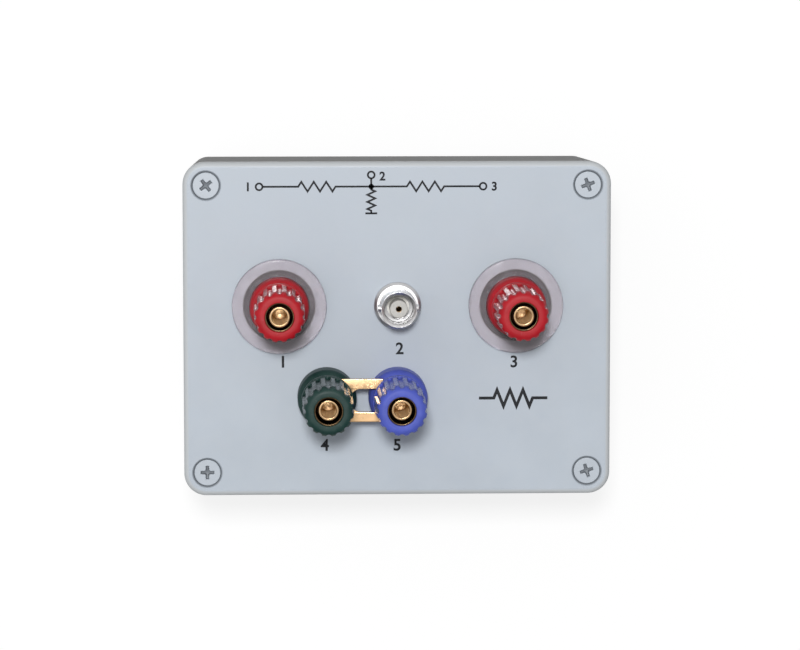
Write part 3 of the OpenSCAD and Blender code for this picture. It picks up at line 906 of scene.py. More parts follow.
@dataclass(frozen=True)
class Plating(Finish):
    """Metal plating over a turned or sheared piece: lathe rings, faint tarnish and handling marks,
    with painted light in bores and painted shade in hollows.

    Attributes:
        tarnish: Colour of the dull patches.
        polished: Pale colour painted where the shade is bright, on the walls of a bore: painted light for
            the light thrown back and forth inside.
        lustre: How metallic those walls are. Fine tool marks make them throw light all ways.
        smoothed: Share of the roughness that those walls keep.
        spacing: Distance between lathe rings.
        mottle: Share of tarnish in the dullest patches.
        sunk: Share of the tarnish's colour that is left where the painted shade is darkest.
        sweep: How far the roughness varies down and up.
    """

    tarnish: Colour = linear(150, 140, 120)
    polished: Colour = linear(255, 232, 190)
    lustre: float = 0.1
    smoothed: float = 0.4
    spacing: float = 0.15 * MM
    mottle: float = 0.15
    sunk: float = 0.06
    sweep: Pair = (0.05, 0.09)

    def shader(self, graph: Graph, place: Socket) -> Node:
        """Mixes bright and tarnished metal, paints light into bores and shade into hollows, and lifts rings
        and grain, as Finish.shader tells.
        """
        height, blotch = graph.effect(Effect.GRAIN, place, Size=self.grain, Blotch_Size=2.5 * MM)
        rings, = graph.effect(Effect.RINGS, place, Spacing=self.spacing)
        dull = graph.spread(blotch, 0.4, 1.0, 0.0, self.mottle)
        colour = graph.mixed(dull, self.colour, self.tarnish)
        bright = graph.bright()
        # Painted light on the walls of bores, then painted shade in hollows
        colour = graph.mixed(bright, colour, self.polished)
        colour = graph.mixed(graph.dark(), colour, scaled(self.tarnish, self.sunk))
        rough = graph.spread(blotch, 0.0, 1.0,
                             self.roughness - self.sweep[0], self.roughness + self.sweep[1])
        rough = graph.times(rough, graph.spread(bright, 0.0, 1.0, 1.0, self.smoothed))
        metal = graph.spread(bright, 0.0, 1.0, 1.0, self.lustre)
        normal = self.bump(graph, graph.plus(height, rings))
        return graph.add("ShaderNodeBsdfPrincipled", {
            "Base Color": colour, "Roughness": rough, "Normal": normal, "Metallic": metal})


PANEL_PAINT = Paint("panel_grey", linear(186, 195, 205), 0.42, 0.45 * MM, 0.006 * MM,
                    edge=linear(196, 200, 203))
BODY_PAINT = Paint("cast_grey", linear(173, 173, 173), 0.75, 0.7 * MM, 0.02 * MM,
                   mottle=0.04, shine=0.08)
SCREW_PAINT = Paint("screw_steel", linear(190, 198, 207), 0.36, 0.3 * MM, 0.004 * MM)
INK = Paint("printing_ink", linear(14, 18, 25), 0.5, 0.2 * MM, 0.002 * MM,
            mottle=0.12, dust=0.02, worn=linear(60, 64, 70), shine=0.2)
RED = Moulding("red_plastic", linear(174, 14, 30), 0.46, handled=0.2)
GREEN = Moulding("green_plastic", linear(17, 51, 47), 0.48)
BLUE = Moulding("blue_plastic", linear(77, 91, 186), 0.46)
WHITE = Moulding("white_plastic", linear(240, 238, 232), 0.42)
RUBBER = Moulding("rubber", linear(38, 38, 39), 0.75, 0.25 * MM, 0.01 * MM, dust=0.08)
CLEAR = ClearPlastic("clear_plastic", linear(206, 200, 202), 0.14)
GOLD = Plating("gold_plate", linear(221, 184, 140), 0.26, relief=0.0008 * MM, tarnish=linear(190, 145, 98))
NICKEL = Plating("nickel", linear(206, 205, 206), 0.3, tarnish=linear(165, 163, 160),
                 polished=linear(252, 252, 254), lustre=0.4)
TINNED = Plating("tinned_copper", linear(200, 200, 198), 0.35)
BROWN = Moulding("brown_glaze", linear(110, 62, 34), 0.3)
DARK_GREEN = Moulding("green_glaze", linear(40, 92, 56), 0.3)


def finished(name: str, shape: Shape, finish: Finish, body: str,
             replaced: str | None = None, bit: Shape | None = None) -> None:
    """Makes a piece of the part: its mesh, its finish, its body and what it stands for.

    Args:
        name: Name of the piece.
        shape: Its surface, at its place in the frame.
        finish: Its finish.
        body: The body that it moves with.
        replaced: The CAD node that it stands for.
        bit: A shape to cut out of it.
    """
    piece = new_mesh_object(name, shape)
    if bit is not None:
        cut_away(piece, bit)
    # Large flat faces keep their shading beside rounded edges
    piece.modifiers.new("weighted_normals", "WEIGHTED_NORMAL").keep_sharp = True
    piece.data.materials.append(finish.material())
    if replaced:
        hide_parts(replaced)
    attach(piece, body)
    LOG.info("%s: %d points on %s", name, len(piece.data.vertices), body)


def heights(node: str) -> Pair:
    """Returns the lowest and the highest height of a CAD node."""
    low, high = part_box(node)
    return low.z, high.z


def middle(node: str) -> Pair:
    """Returns x and y of the middle of a CAD node."""
    low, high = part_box(node)
    return (low.x + high.x) / 2, (low.y + high.y) / 2


def four_corners(node: str, radius: float) -> list[Pair]:
    """Finds the four round pieces of a CAD node, one in each corner.

    Args:
        node: The node.
        radius: Radius of each piece.

    Returns:
        x and y of their centres.
    """
    _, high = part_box(node)
    x, y = high.x - radius, high.y - radius
    return [(-x, -y), (x, -y), (x, y), (-x, y)]


HOUSING = "housing"
PANEL_TOP = heights("front_panel")[1]
PANEL_THICKNESS = 3.2 * MM
RIM = PANEL_TOP - PANEL_THICKNESS
SCREW_HEAD = 3.75 * MM
FOOT = 6.35 * MM
# Radius of the box's upright corners, and where their centres lie
CORNER = 6 * MM
CORNER_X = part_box("front_panel")[1].x - CORNER
CORNER_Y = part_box("front_panel")[1].y - CORNER


def outline_loop(radius: float, height: float) -> Array:
    """Draws a level loop of the box's outline.

    Args:
        radius: Radius of its round corners.
        height: Height of the loop.

    Returns:
        Rows of x, y and z.
    """
    quarter = np.repeat(np.arange(4), CORNER_STEPS + 1)
    angle = quarter * np.pi / 2 + np.tile(np.linspace(0, np.pi / 2, CORNER_STEPS + 1), 4)
    x = np.array([1, -1, -1, 1])[quarter] * CORNER_X + radius * np.cos(angle)
    y = np.array([1, 1, -1, -1])[quarter] * CORNER_Y + radius * np.sin(angle)
    return np.stack([x, y, np.full(len(x), height)], axis=-1)


@dataclass
class Enclosure:
    """The cast box with its screw columns and rubber feet.

    Attributes:
        draft: Lean of the cast walls.
        wall: Thickness of the walls.
        back_edge: Rounding of the edge at the back.
        inner_edge: Rounding of the edge inside the back.
        rim_edge: Rounding of the rim's two edges.
        column: Radius of the screw columns.
        column_hole: Radius of their holes.
        hole_depth: Depth of their holes.
        foot_edge: Rounding of a foot's lower edge.
        clear: Where a flat face starts beside a rounding, as a multiple of its radius.
    """

    draft: float = math.radians(1.5)
    wall: float = 2.2 * MM
    back_edge: float = 2.5 * MM
    inner_edge: float = 1.2 * MM
    rim_edge: float = 0.25 * MM
    column: float = 4.4 * MM
    column_hole: float = 1.75 * MM
    hole_depth: float = 11 * MM
    foot_edge: float = 1 * MM
    clear: float = 1.3

    def shell(self) -> Shape:
        """Stacks loops of the drafted wall, outside from the back to the rim and inside down again.

        Returns:
            The box without its columns.
        """
        back = heights("enclosure_body")[0]
        back_corner = CORNER - (RIM - back) * math.tan(self.draft)
        floor_corner = back_corner - self.wall
        profile = filleted([
            (back_corner - self.clear * self.back_edge, back),
            (back_corner, back, self.back_edge),
            (CORNER, RIM, self.rim_edge),
            (CORNER - self.wall, RIM, self.rim_edge),
            (floor_corner, back + self.wall, self.inner_edge),
            (floor_corner - self.clear * self.inner_edge, back + self.wall)])
        return plate([outline_loop(radius, height) for radius, height in held(profile)])

    def screw_column(self) -> Shape:
        """Turns one screw column with its blind hole.

        Returns:
            The column, about Z.
        """
        floor = heights("enclosure_body")[0] + self.wall / 2
        bottom = RIM - self.hole_depth
        return revolved(np.array([
            (0, floor), (self.column, floor), (self.column, RIM), (self.column_hole, RIM),
            (self.column_hole, bottom), (0, bottom)]), COLUMNS // 2)

    def foot(self) -> Shape:
        """Returns one rubber foot about Z, with its lower edge rounded."""
        top = heights("rubber_feet")[1]
        return revolved(filleted([(0, 0), (FOOT, 0, self.foot_edge), (FOOT, top, SMALL), (0, top)]))

    def build(self) -> None:
        """Makes the box and its feet."""
        columns = [self.screw_column().moved(x, y) for x, y in four_corners("panel_screws", SCREW_HEAD)]
        finished("enclosure_shell", Shape.joined([self.shell(), *columns]), BODY_PAINT, HOUSING,
                 "enclosure_body")
        feet = [self.foot().moved(x, y) for x, y in four_corners("rubber_feet", FOOT)]
        finished("moulded_feet", Shape.joined(feet), RUBBER, HOUSING, "rubber_feet")


@dataclass
class Panel:
    """The painted front panel with its holes, its locating ribs and its four screws.

    Attributes:
        edge: Rounding of the front edge.
        joint_edge: Rounding of the back edge, which leaves a fine line round the joint.
        hole_edge: Chamfer at the front of each hole.
        disc_hole: Radius of the holes for the clear discs.
        spigot_hole: Radius of the holes for the ground and guard bases.
        jack_hole: Radius of the hole for the jack.
        sink: How far the screw heads sit below the face.
        shank: Radius of the screws.
        shank_gap: Clearance round them.
        rib_height: Height of the locating ribs.
        rib: Their thickness.
        rib_back: Distance of their outer face from the edge of the panel.
        rib_end: Distance of their ends from the corner of the panel.
        recess_reach: Half the width of a screw's cross recess.
        recess_slot: Half the width of one of its slots.
        recess_hub: Half the width of its middle, across the flats.
        recess_depth: Its depth.
        recess_slope: Width of its sloping walls.
        recess_rise: Share of its depth that it loses from its middle to its ends.
        recess_angles: Angle of each screw's recess, in degrees.
        recess_shade: Darkest painted shade in the recess.
        recess_fade: Depth over which the painted shade would go from 0 to 1.
        shadow: Painted shadow in the countersinks beside the screw heads and on the rims of the heads.
        rim_fade: Share of the front edge's rounding over which the paler rim colour fades in.
        clear: Where the flat face starts beside the front edge, as a multiple of its radius.
        screw_columns: Points round a screw.
    """

    edge: float = 1.4 * MM
    joint_edge: float = 0.25 * MM
    hole_edge: float = 0.15 * MM
    disc_hole: float = 9.7 * MM
    spigot_hole: float = 4.6 * MM
    jack_hole: float = 4.85 * MM
    sink: float = 0.4 * MM
    shank: float = 1.75 * MM
    shank_gap: float = 0.2 * MM
    rib_height: float = 2 * MM
    rib: float = 1.5 * MM
    rib_back: float = 2.5 * MM
    rib_end: float = 11 * MM
    recess_reach: float = 1.9 * MM
    recess_slot: float = 0.52 * MM
    recess_hub: float = 0.9 * MM
    recess_depth: float = 1.5 * MM
    recess_slope: float = 0.34 * MM
    recess_rise: float = 0.45
    recess_angles: tuple[float, ...] = (0, 17, 20, 37)
    recess_shade: float = 0.62
    recess_fade: float = 0.9 * MM
    shadow: float = 0.78
    rim_fade: float = 0.3
    clear: float = 1.2
    screw_columns: int = 144

    def edge_loops(self) -> list[Array]:
        """Draws the loops down the panel's edge.

        Returns:
            The loops, from the front to the back.
        """
        profile = filleted([
            (CORNER - self.clear * self.edge, PANEL_TOP), (CORNER, PANEL_TOP, self.edge),
            (CORNER, RIM, self.joint_edge), (CORNER - 2 * self.joint_edge, RIM)], steps=8)
        return [outline_loop(radius, height) for radius, height in held(profile, reach=0.2 * MM)]

    def hole_loops(self, node: str, radius: float) -> list[Array]:
        """Draws the loops down a round hole, with a chamfer at its mouth.

        Args:
            node: The CAD node in the hole.
            radius: Radius of the hole.

        Returns:
            The loops, from the front to the back.
        """
        edge = self.hole_edge
        return loops_down(*middle(node), [(radius + 3 * edge, PANEL_TOP), (radius + edge, PANEL_TOP),
                                          (radius, PANEL_TOP - edge), (radius, RIM)])

    def screw_hole_loops(self, x: float, y: float) -> list[Array]:
        """Draws the loops down a countersunk hole, whose cone leans at 45 degrees.

        Args:
            x, y: Where its middle lies.

        Returns:
            The loops, from the front to the back.
        """
        mouth = SCREW_HEAD + self.sink
        shank = self.shank + self.shank_gap
        return loops_down(x, y, [
            (mouth + self.hole_edge, PANEL_TOP), (mouth, PANEL_TOP), (SCREW_HEAD, PANEL_TOP - self.sink),
            (shank, PANEL_TOP - mouth + shank), (shank, RIM)])

    def ribs(self) -> list[Shape]:
        """Places the four ribs that locate the panel in the box.

        Returns:
            The ribs: two along one pair of sides, and the same turned half round.
        """
        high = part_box("front_panel")[1]
        low_z, high_z = RIM - self.rib_height, RIM + PANEL_THICKNESS / 2
        x, y = (side - self.rib_back - self.rib / 2 for side in high[:2])
        end_x, end_y = (side - self.rib_end for side in high[:2])
        made = [strip(np.array(path), self.rib, low_z, high_z)
                for path in ([(-end_x, y), (end_x, y)], [(x, -end_y), (x, end_y)])]
        return made + [rib.turned(math.pi) for rib in made]

    def recess(self, x: Array, y: Array) -> Array:
        """Works out the depth of a cross recess at points of a screw head.

        The cross is the union of two slots and a hub turned by 45 degrees. With d the distance
        inside its outline as a share of the wall's slope, held between 0 and 1, the wall is the
        smooth step 3 d squared less 2 d cubed, and the floor rises from the hub outwards.

        Args:
            x: Distances from the head's middle.
            y: The same the other way.

        Returns:
            The depth at each point.
        """
        along = np.maximum(np.abs(y) - self.recess_slot, np.abs(x) - self.recess_reach)
        across = np.maximum(np.abs(x) - self.recess_slot, np.abs(y) - self.recess_reach)
        hub = (np.abs(x) + np.abs(y)) / math.sqrt(2) - self.recess_hub
        inside = -np.minimum(np.minimum(along, across), hub)
        share = np.clip(inside / self.recess_slope, 0, 1)
        floor = 1 - self.recess_rise * np.clip(np.hypot(x, y) / self.recess_reach, 0, 1)
        return self.recess_depth * floor * (3 * share ** 2 - 2 * share ** 3)

    def screw(self) -> Shape:
        """Turns one screw, sinks the cross recess into its head and paints shade into the recess and round
        the head's rim.

        Returns:
            The screw, with the face of its head at height 0.
        """
        length = PANEL_TOP - heights("panel_screws")[0] - self.sink
        neck = SCREW_HEAD - self.shank
        rim = SMALL
        first_ring, ring_step = 0.05 * MM, 0.09 * MM
        face = densified([(first_ring, 0), (SCREW_HEAD - 2 * rim, 0)], ring_step)
        side = filleted([
            (SCREW_HEAD - 1.9 * rim, 0), (SCREW_HEAD, -0.3 * rim, rim), (self.shank, -neck),
            (self.shank, -length, SMALL), (0, -length)])
        profile = np.concatenate([[(0, 0)], face, side])
        radius, height = off_axis(profile, self.screw_columns)
        angle = around(self.screw_columns)
        sunk = self.recess(radius * np.cos(angle), radius * np.sin(angle))
        height = height - np.where(height > -0.5 * rim, sunk, 0)
        poles = [np.array([0, 0, -self.recess_depth]), np.array([0, 0, -length])]
        shape = closed_grid(turned_grid(radius, height), poles)
        # Painted shade deep in the recess and round the head's rim
        away, down = shape.away(), -shape.points[:, 2]
        in_recess = (down < self.recess_depth + PAST) & (away < self.recess_reach)
        deep = np.clip(down / self.recess_fade, 0, self.recess_shade)
        at_rim = np.clip((away - SCREW_HEAD + rim) / rim, 0, 1) * self.shadow
        return replace(shape, shade=np.where(in_recess, deep, np.where(down < neck, at_rim, 0)))

    def build(self) -> None:
        """Makes the panel and its screws."""
        places = four_corners("panel_screws", SCREW_HEAD)
        holes = [self.hole_loops(f"{name}_disc", self.disc_hole) for name in ("source", "output")]
        holes += [self.hole_loops(f"{name}_base", self.spigot_hole) for name in ("ground", "guard")]
        holes += [self.hole_loops("tap_jack_shell", self.jack_hole)]
        holes += [self.screw_hole_loops(x, y) for x, y in places]
        sheet = plate(self.edge_loops(), holes)
        # Painted shadow in the countersinks beside the screw heads; the front edge's rounding is marked for
        # the paler rim colour
        deep = np.clip((PANEL_TOP - sheet.points[:, 2]) / self.sink, 0, 1)
        reach = SCREW_HEAD + self.sink / 2
        near = [sheet.moved(-x, -y).away() < reach for x, y in places]
        past = np.maximum(np.abs(sheet.points[:, :2]) - (CORNER_X, CORNER_Y), 0)
        rim = np.clip((np.hypot(*past.T) - CORNER + self.edge) / (self.rim_fade * self.edge), 0, 1)
        sheet = replace(sheet, shade=np.any(near, axis=0) * deep * self.shadow - rim)
        finished("panel_plate", Shape.joined([sheet, *self.ribs()]), PANEL_PAINT, HOUSING, "front_panel")
        screws = [self.screw().turned(math.radians(angle)).moved(x, y, PANEL_TOP - self.sink)
                  for angle, (x, y) in zip(self.recess_angles, places)]
        finished("cross_screws", Shape.joined(screws), SCREW_PAINT, HOUSING, "panel_screws")


@dataclass
class SignalDisc:
    """The clear disc that insulates a signal post from the panel.

    Attributes:
        node: The CAD node.
        thickness: Thickness in front of the panel.
        spigot: Radius of the part that fills the panel's hole.
        seat: Radius of the seat for the post's base.
        bore: Radius of the hole for the base's spigot.
        edge: Rounding of the front edge.
        lift: Film of air under the disc, which keeps its face off the paint.
        edge_shade: Painted shade on its outer edge, standing in for the dark line that refraction draws
            round clear plastic.
    """

    node: str
    thickness: float = 3 * MM
    spigot: float = 9.5 * MM
    seat: float = 8 * MM
    bore: float = 4.6 * MM
    edge: float = 0.5 * MM
    lift: float = 0.03 * MM
    edge_shade: float = 0.7

    def build(self) -> None:
        """Makes the disc."""
        x, y = middle(self.node)
        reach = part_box(self.node)[1].x - x
        profile = filleted([
            (self.bore, -PANEL_THICKNESS), (self.spigot, -PANEL_THICKNESS, SMALL),
            (self.spigot, self.lift), (reach, self.lift, FINE), (reach, self.thickness, self.edge),
            (self.seat, self.thickness, SMALL), (self.seat, 0), (self.bore, 0)])
        disc = revolved(profile)
        # Painted shade: a dark line round the outer edge, and darkness in the spigot over the panel's hole
        disc = replace(disc, shade=(disc.away() > reach - HAIR) * self.edge_shade)
        disc = disc.shaded_inside(self.spigot + PAST, 0, {0: 0, PANEL_THICKNESS: 1})
        finished(self.node.replace("disc", "clear_disc"), disc.moved(x, y, PANEL_TOP), CLEAR, HOUSING,
                 self.node)


class Role(Enum):
    """What a binding post is for."""

    SOURCE = "source"
    OUTPUT = "output"
    GROUND = "ground"
    GUARD = "guard"


ROLE_PLASTIC = {Role.SOURCE: RED, Role.OUTPUT: RED, Role.GROUND: GREEN, Role.GUARD: BLUE}
CLAMP_HOLE = 3.08 * MM


def soft_minimum(first: Array, second: Array, width: float) -> Array:
    """Takes the smaller of two lengths, and rounds the ridge where they cross.

    With h = 1/2 + (second - first) / (2 width), held between 0 and 1, the result is
    h first + (1 - h) second - width h (1 - h).

    Args:
        first: The one length at each point.
        second: The other.
        width: Difference of the two within which the ridge is rounded.

    Returns:
        The smaller length at each point.
    """
    h = np.clip(0.5 + (second - first) / (2 * width), 0, 1)
    return h * first + (1 - h) * second - width * h * (1 - h)


@dataclass
class BindingPost:
    """A five-way binding post: base, threaded stud, clamp washer, insert and fluted knob.

    Heights are above the panel, and a knob's own heights are above its lower face.

    Attributes:
        role: What the post is for, which sets its place and its plastic.
        base: Radius of the base.
        base_height: Height of the base.
        base_edge: Rounding of its shoulder.
        base_spigot: Radius of its spigot.
        base_bore: Radius of its bore.
        seat_gap: Clearance round the stud's collar in it.
        collar: Radius of the stud's collar.
        collar_height: Thickness of the collar.
        stud: Outer radius of the thread.
        tip: Radius of the plain tip.
        tip_length: Length of the plain tip.
        socket: Radius of the plug socket.
        socket_depth: Depth of the plug socket.
        socket_point: Depth of the cone at its bottom, as a share of its radius.
        socket_shine: Depth at which the painted light on its wall reaches full strength, and the depth down
            to which it stays so, as a share of the socket's depth.
        wire_hole: Radius of the wire hole.
        wire_hole_height: Height of the wire hole above the base.
        pitch: Pitch of the thread.
        thread_depth: Depth of the thread.
        clamp: Radius of the clamp washer.
        insert: Outer radius of the insert.
        insert_bore: Radius of the insert's mouth.
        insert_thread: Length of its thread.
        insert_foot: Radius of its foot.
        insert_foot_height: Height of its foot.
        insert_proud: How far it stands below the knob.
        skirt: Radius of the knob's skirt.
        skirt_height: Height of the skirt.
        skirt_edge: Rounding of its lower edge.
        ledge_edge: Rounding of its upper edge.
        body: Radius of the knob above the skirt.
        front: Radius of the knob at its front.
        length: Length of the knob.
        front_edge: Rounding of the knob's front.
        flutes: Number of flutes.
        flute: Radius of a flute's cutter.
        flute_depth: Depth of the flutes.
        run_out: Height over which they run out above the skirt, as a multiple of the cutter's radius.
        ridge: Width over which the ridges between the flutes are rounded.
        flute_columns: Points round the knob for each flute.
        tip_shade: Painted shade on the stud's rim.
        insert_shade: Painted shade on the insert's rim.
        fade: Depth over which both give way.
    """

    role: Role
    base: float = 7.9 * MM
    base_height: float = 8.6 * MM
    base_edge: float = 2.4 * MM
    base_spigot: float = 4.5 * MM
    base_bore: float = 3.1 * MM
    seat_gap: float = 0.1 * MM
    collar: float = 5 * MM
    collar_height: float = 1.6 * MM
    stud: float = 3 * MM
    tip: float = 2.75 * MM
    tip_length: float = 5 * MM
    socket: float = 2 * MM
    socket_depth: float = 17 * MM
    socket_point: float = 0.3
    socket_shine: Pair = (0.4 * MM, 0.8)
    wire_hole: float = 1.3 * MM
    wire_hole_height: float = 3 * MM
    pitch: float = 1 * MM
    thread_depth: float = 0.4 * MM
    clamp: float = 4.9 * MM
    insert: float = 3.8 * MM
    insert_bore: float = 3.45 * MM
    insert_thread: float = 7 * MM
    insert_foot: float = 4.75 * MM
    insert_foot_height: float = 1.6 * MM
    insert_proud: float = 0.4 * MM
    skirt: float = 7.05 * MM
    skirt_height: float = 2.6 * MM
    skirt_edge: float = 0.5 * MM
    ledge_edge: float = 0.18 * MM
    body: float = 6.85 * MM
    front: float = 6.6 * MM
    length: float = 22.2 * MM
    front_edge: float = 1.8 * MM
    flutes: int = 16
    flute: float = 0.75 * MM
    flute_depth: float = 0.6 * MM
    run_out: float = 2.2
    ridge: float = 0.12 * MM
    flute_columns: int = 20
    tip_shade: float = 0.5
    insert_shade: float = 0.85
    fade: float = 1 * MM

    def node(self, piece: str) -> str:
        """Returns the name of one of the post's CAD nodes."""
        return f"{self.role.value}_{piece}"

    def base_shape(self) -> Shape:
        """Turns the insulating base, with its seat for the stud's collar.

        Returns:
            The base, about Z.
        """
        seat = self.collar + self.seat_gap
        return revolved(filleted([
            (self.base_bore, -PANEL_THICKNESS), (self.base_spigot, -PANEL_THICKNESS, SMALL),
            (self.base_spigot, 0), (self.base, 0, SMALL), (self.base, self.base_height, self.base_edge),
            (seat, self.base_height, SMALL), (seat, self.base_height - self.collar_height),
            (self.base_bore, self.base_height - self.collar_height)]))

    def thread(self, radius: Array, height: Array, low: float, high: float) -> Array:
        """Cuts a thread into the rows of a stud.

        With t the turns of the helix at a point, height / pitch less angle / full turn, the cut is
        the depth times the smooth wave (1 - cos(full turn t)) / 2, and it fades in and out over
        half a pitch at the ends of the thread.

        Args:
            radius: Radii of the rows, by columns.
            height: Their heights.
            low: Where the thread starts.
            high: Where it ends.

        Returns:
            The radii after the cut.
        """
        turns = height / self.pitch - around(radius.shape[1]) / TURN
        fade = np.clip(np.minimum(height - low, high - height) / (self.pitch / 2), 0, 1)
        return radius - self.thread_depth * fade * (1 - np.cos(TURN * turns)) / 2

    def stud_shape(self) -> Shape:
        """Turns the stud with its collar, its thread, its tip and its socket.

        Returns:
            The stud, about Z.
        """
        tail, top = (z - PANEL_TOP for z in heights(self.node("stud")))
        thread_start, thread_end = self.base_height + HAIR, top - self.tip_length
        bottom = top - self.socket_depth
        low = filleted([
            (0, tail), (self.stud, tail, SOFT), (self.stud, self.base_height - self.collar_height),
            (self.collar, self.base_height - self.collar_height),
            (self.collar, self.base_height, SMALL), (self.stud, self.base_height)])
        threaded = densified([(self.stud, thread_start), (self.stud, thread_end)], self.pitch / 8)
        high = filleted([
            (self.tip, thread_end + self.stud - self.tip), (self.tip, top, EVEN),
            (self.socket, top, SMALL), (self.socket, top - 1.5 * SOFT)])
        bore = densified([(self.socket, top - 2 * SOFT), (self.socket, bottom)], LONG_STEP / 2)
        point = [(0, bottom - self.socket_point * self.socket)]
        profile = np.concatenate([low, threaded, high, bore, point])
        radius, height = off_axis(profile, COLUMNS // 2)
        outside = radius > (self.tip + self.stud) / 2
        cut = self.thread(radius, height, thread_start, thread_end)
        radius = np.where(outside & (height > self.base_height), cut, radius)
        shape = closed_grid(turned_grid(radius, height), pole_points(profile))
        end = bottom - self.socket
        # Painted shade on the tip's rim, then painted light down the socket's wall
        shape = shape.shaded_inside(self.tip, top + HAIR, {0: self.tip_shade, self.fade: 0}, end)
        start, share = self.socket_shine
        shades = {0: self.tip_shade, start: -1, share * self.socket_depth: -1, self.socket_depth: 0}
        return shape.shaded_inside(self.socket + PAST, top, shades, end)

    def drill_bit(self) -> Shape:
        """Lays the drill of the wire hole across the stud.

        Returns:
            The drill, along X.
        """
        reach = 2 * self.stud
        section = [(0, -reach), (self.wire_hole, -reach), (self.wire_hole, reach), (0, reach)]
        bit = revolved(np.array(section), COLUMNS // 2).laid_along_x()
        return bit.moved(z=self.base_height + self.wire_hole_height)

    def clamp_shape(self) -> Shape:
        """Turns the clamp washer that the knob presses down.

        Returns:
            The washer, about Z at its own height.
        """
        low, high = heights(self.node("clamp_washer"))
        return revolved(filleted([
            (CLAMP_HOLE, low, HAIR), (self.clamp, low, FINE), (self.clamp, high, SMALL),
            (CLAMP_HOLE, high, HAIR)]))

    def insert_shape(self) -> Shape:
        """Turns the metal insert, whose rim shows round the tip of the stud.

        Returns:
            The insert, about Z at its own height.
        """
        low, high = heights(self.node("knob_insert"))
        bore = densified([(self.insert_bore, high - 2 * FINE),
                          (self.insert_bore, low + self.insert_thread)], LONG_STEP)
        outside = filleted([
            (CLAMP_HOLE, low), (self.insert_foot, low, FINE),
            (self.insert_foot, low + self.insert_foot_height),
            (self.insert, low + self.insert_foot_height), (self.insert, high, HAIR),
            (self.insert_bore, high, FINE), (self.insert_bore, high - 1.5 * FINE)])
        shape = revolved(np.concatenate([outside, bore, [(CLAMP_HOLE, low + self.insert_thread)]]))
        # Painted shade on the insert's rim, darker further in
        return shape.shaded_inside(self.insert + PAST, high + HAIR, {0: self.insert_shade, self.fade: 1})

    def knob_profile(self) -> Array:
        """Draws half a section of the plain knob, from its bore round the outside to its bore again.

        Returns:
            Rows of radius and height.
        """
        foot = self.insert_foot_height - self.insert_proud
        skirt = filleted([
            (self.insert_foot, foot), (self.insert_foot, 0), (self.skirt, 0, self.skirt_edge),
            (self.skirt, self.skirt_height, self.ledge_edge), (self.body, self.skirt_height)])
        rise = self.run_out * self.flute
        start = np.array([(self.body, self.skirt_height),
                          (self.body - rise * self.taper(), self.skirt_height + rise)])
        front = filleted([
            (self.front + self.front_edge * self.taper(), self.length - 2 * self.front_edge),
            (self.front, self.length, self.front_edge), (self.insert, self.length, EVEN),
            (self.insert, foot)], steps=2 * ARC_STEPS)
        slope = densified([start[-1], front[0]], 1.5 * LONG_STEP)[1:-1]
        return np.concatenate([skirt[:-1], densified(start, self.ridge), slope, front])

    def taper(self) -> float:
        """Returns how much radius the knob loses over a length of its body."""
        return (self.body - self.front) / (self.length - self.skirt_height - self.front_edge)

    def groove(self, height: Array, columns: int) -> Array:
        """Works out the distance from the knob's axis to the surface of the flutes.

        The cutter is a round rod with its axis at radius c. Across the rod, at angle a from its
        middle, its near side lies at c cos a - sqrt(f squared - c squared sin squared a). Near the
        skirt the rod ends as a ball, so f shrinks there as the ball's section does.

        Args:
            height: Heights of the knob's points.
            columns: Number of points round it.

        Returns:
            The distance at each point, and the skirt's radius where no flute is near.
        """
        axis_at_skirt = self.body + self.flute - self.flute_depth
        centre = axis_at_skirt - self.taper() * (height - self.skirt_height)
        below = np.clip(self.skirt_height + self.flute - height, 0, self.flute)
        reach = np.sqrt(self.flute ** 2 - below ** 2)
        step = TURN / self.flutes
        angle = (around(columns) + step / 2) % step - step / 2
        inside = reach ** 2 - (centre * np.sin(angle)) ** 2
        near = centre * np.cos(angle) - np.sqrt(np.maximum(inside, 0))
        return np.where(inside > 0, near, self.skirt)

    def knob_shape(self) -> Shape:
        """Turns the plain knob and cuts the flutes into its outside.

        Returns:
            The knob, about Z with its lower face at height 0.
        """
        radius, height = off_axis(self.knob_profile(), self.flutes * self.flute_columns)
        outside = (height > self.skirt_height) & (radius > self.body - 2 * self.flute_depth)
        cut = soft_minimum(radius, self.groove(height, radius.shape[1]), self.ridge)
        radius = np.where(outside, cut, radius)
        knob = closed_grid(turned_grid(radius, height))
        up = knob.points[:, 2]
        gripped = (up > self.skirt_height) & (up < self.length - self.front_edge)
        return replace(knob, shade=-1.0 * gripped)

    def build(self) -> None:
        """Makes the post's five pieces, each on the body that moves it."""
        name, plastic = self.role.value, ROLE_PLASTIC[self.role]
        clamp, knob = f"{name}_clamp", f"{name}_knob_body"
        knob_bottom = heights(self.node("knob"))[0]
        x, y = middle(self.node("base"))
        bit = self.drill_bit().moved(x, y, PANEL_TOP)
        for piece, shape, z, finish, body, node, cut in (
                ("post_base", self.base_shape(), PANEL_TOP, plastic, HOUSING, "base", None),
                ("threaded_stud", self.stud_shape(), PANEL_TOP, GOLD, HOUSING, "stud", bit),
                ("clamp_ring", self.clamp_shape(), 0, GOLD, clamp, "clamp_washer", None),
                ("thread_insert", self.insert_shape(), 0, GOLD, knob, "knob_insert", None),
                ("fluted_knob", self.knob_shape(), knob_bottom, plastic, knob, "knob", None)):
            finished(f"{name}_{piece}", shape.moved(x, y, z), finish, body, self.node(node), cut)


def arc(x: float, y: float, radius: float, start: float, end: float, steps: int = 24) -> Array:
    """Returns the points of an arc about a centre, from one angle to another in degrees."""
    angle = np.radians(np.linspace(start, end, steps + 1))
    return np.stack([x + radius * np.cos(angle), y + radius * np.sin(angle)], axis=-1)


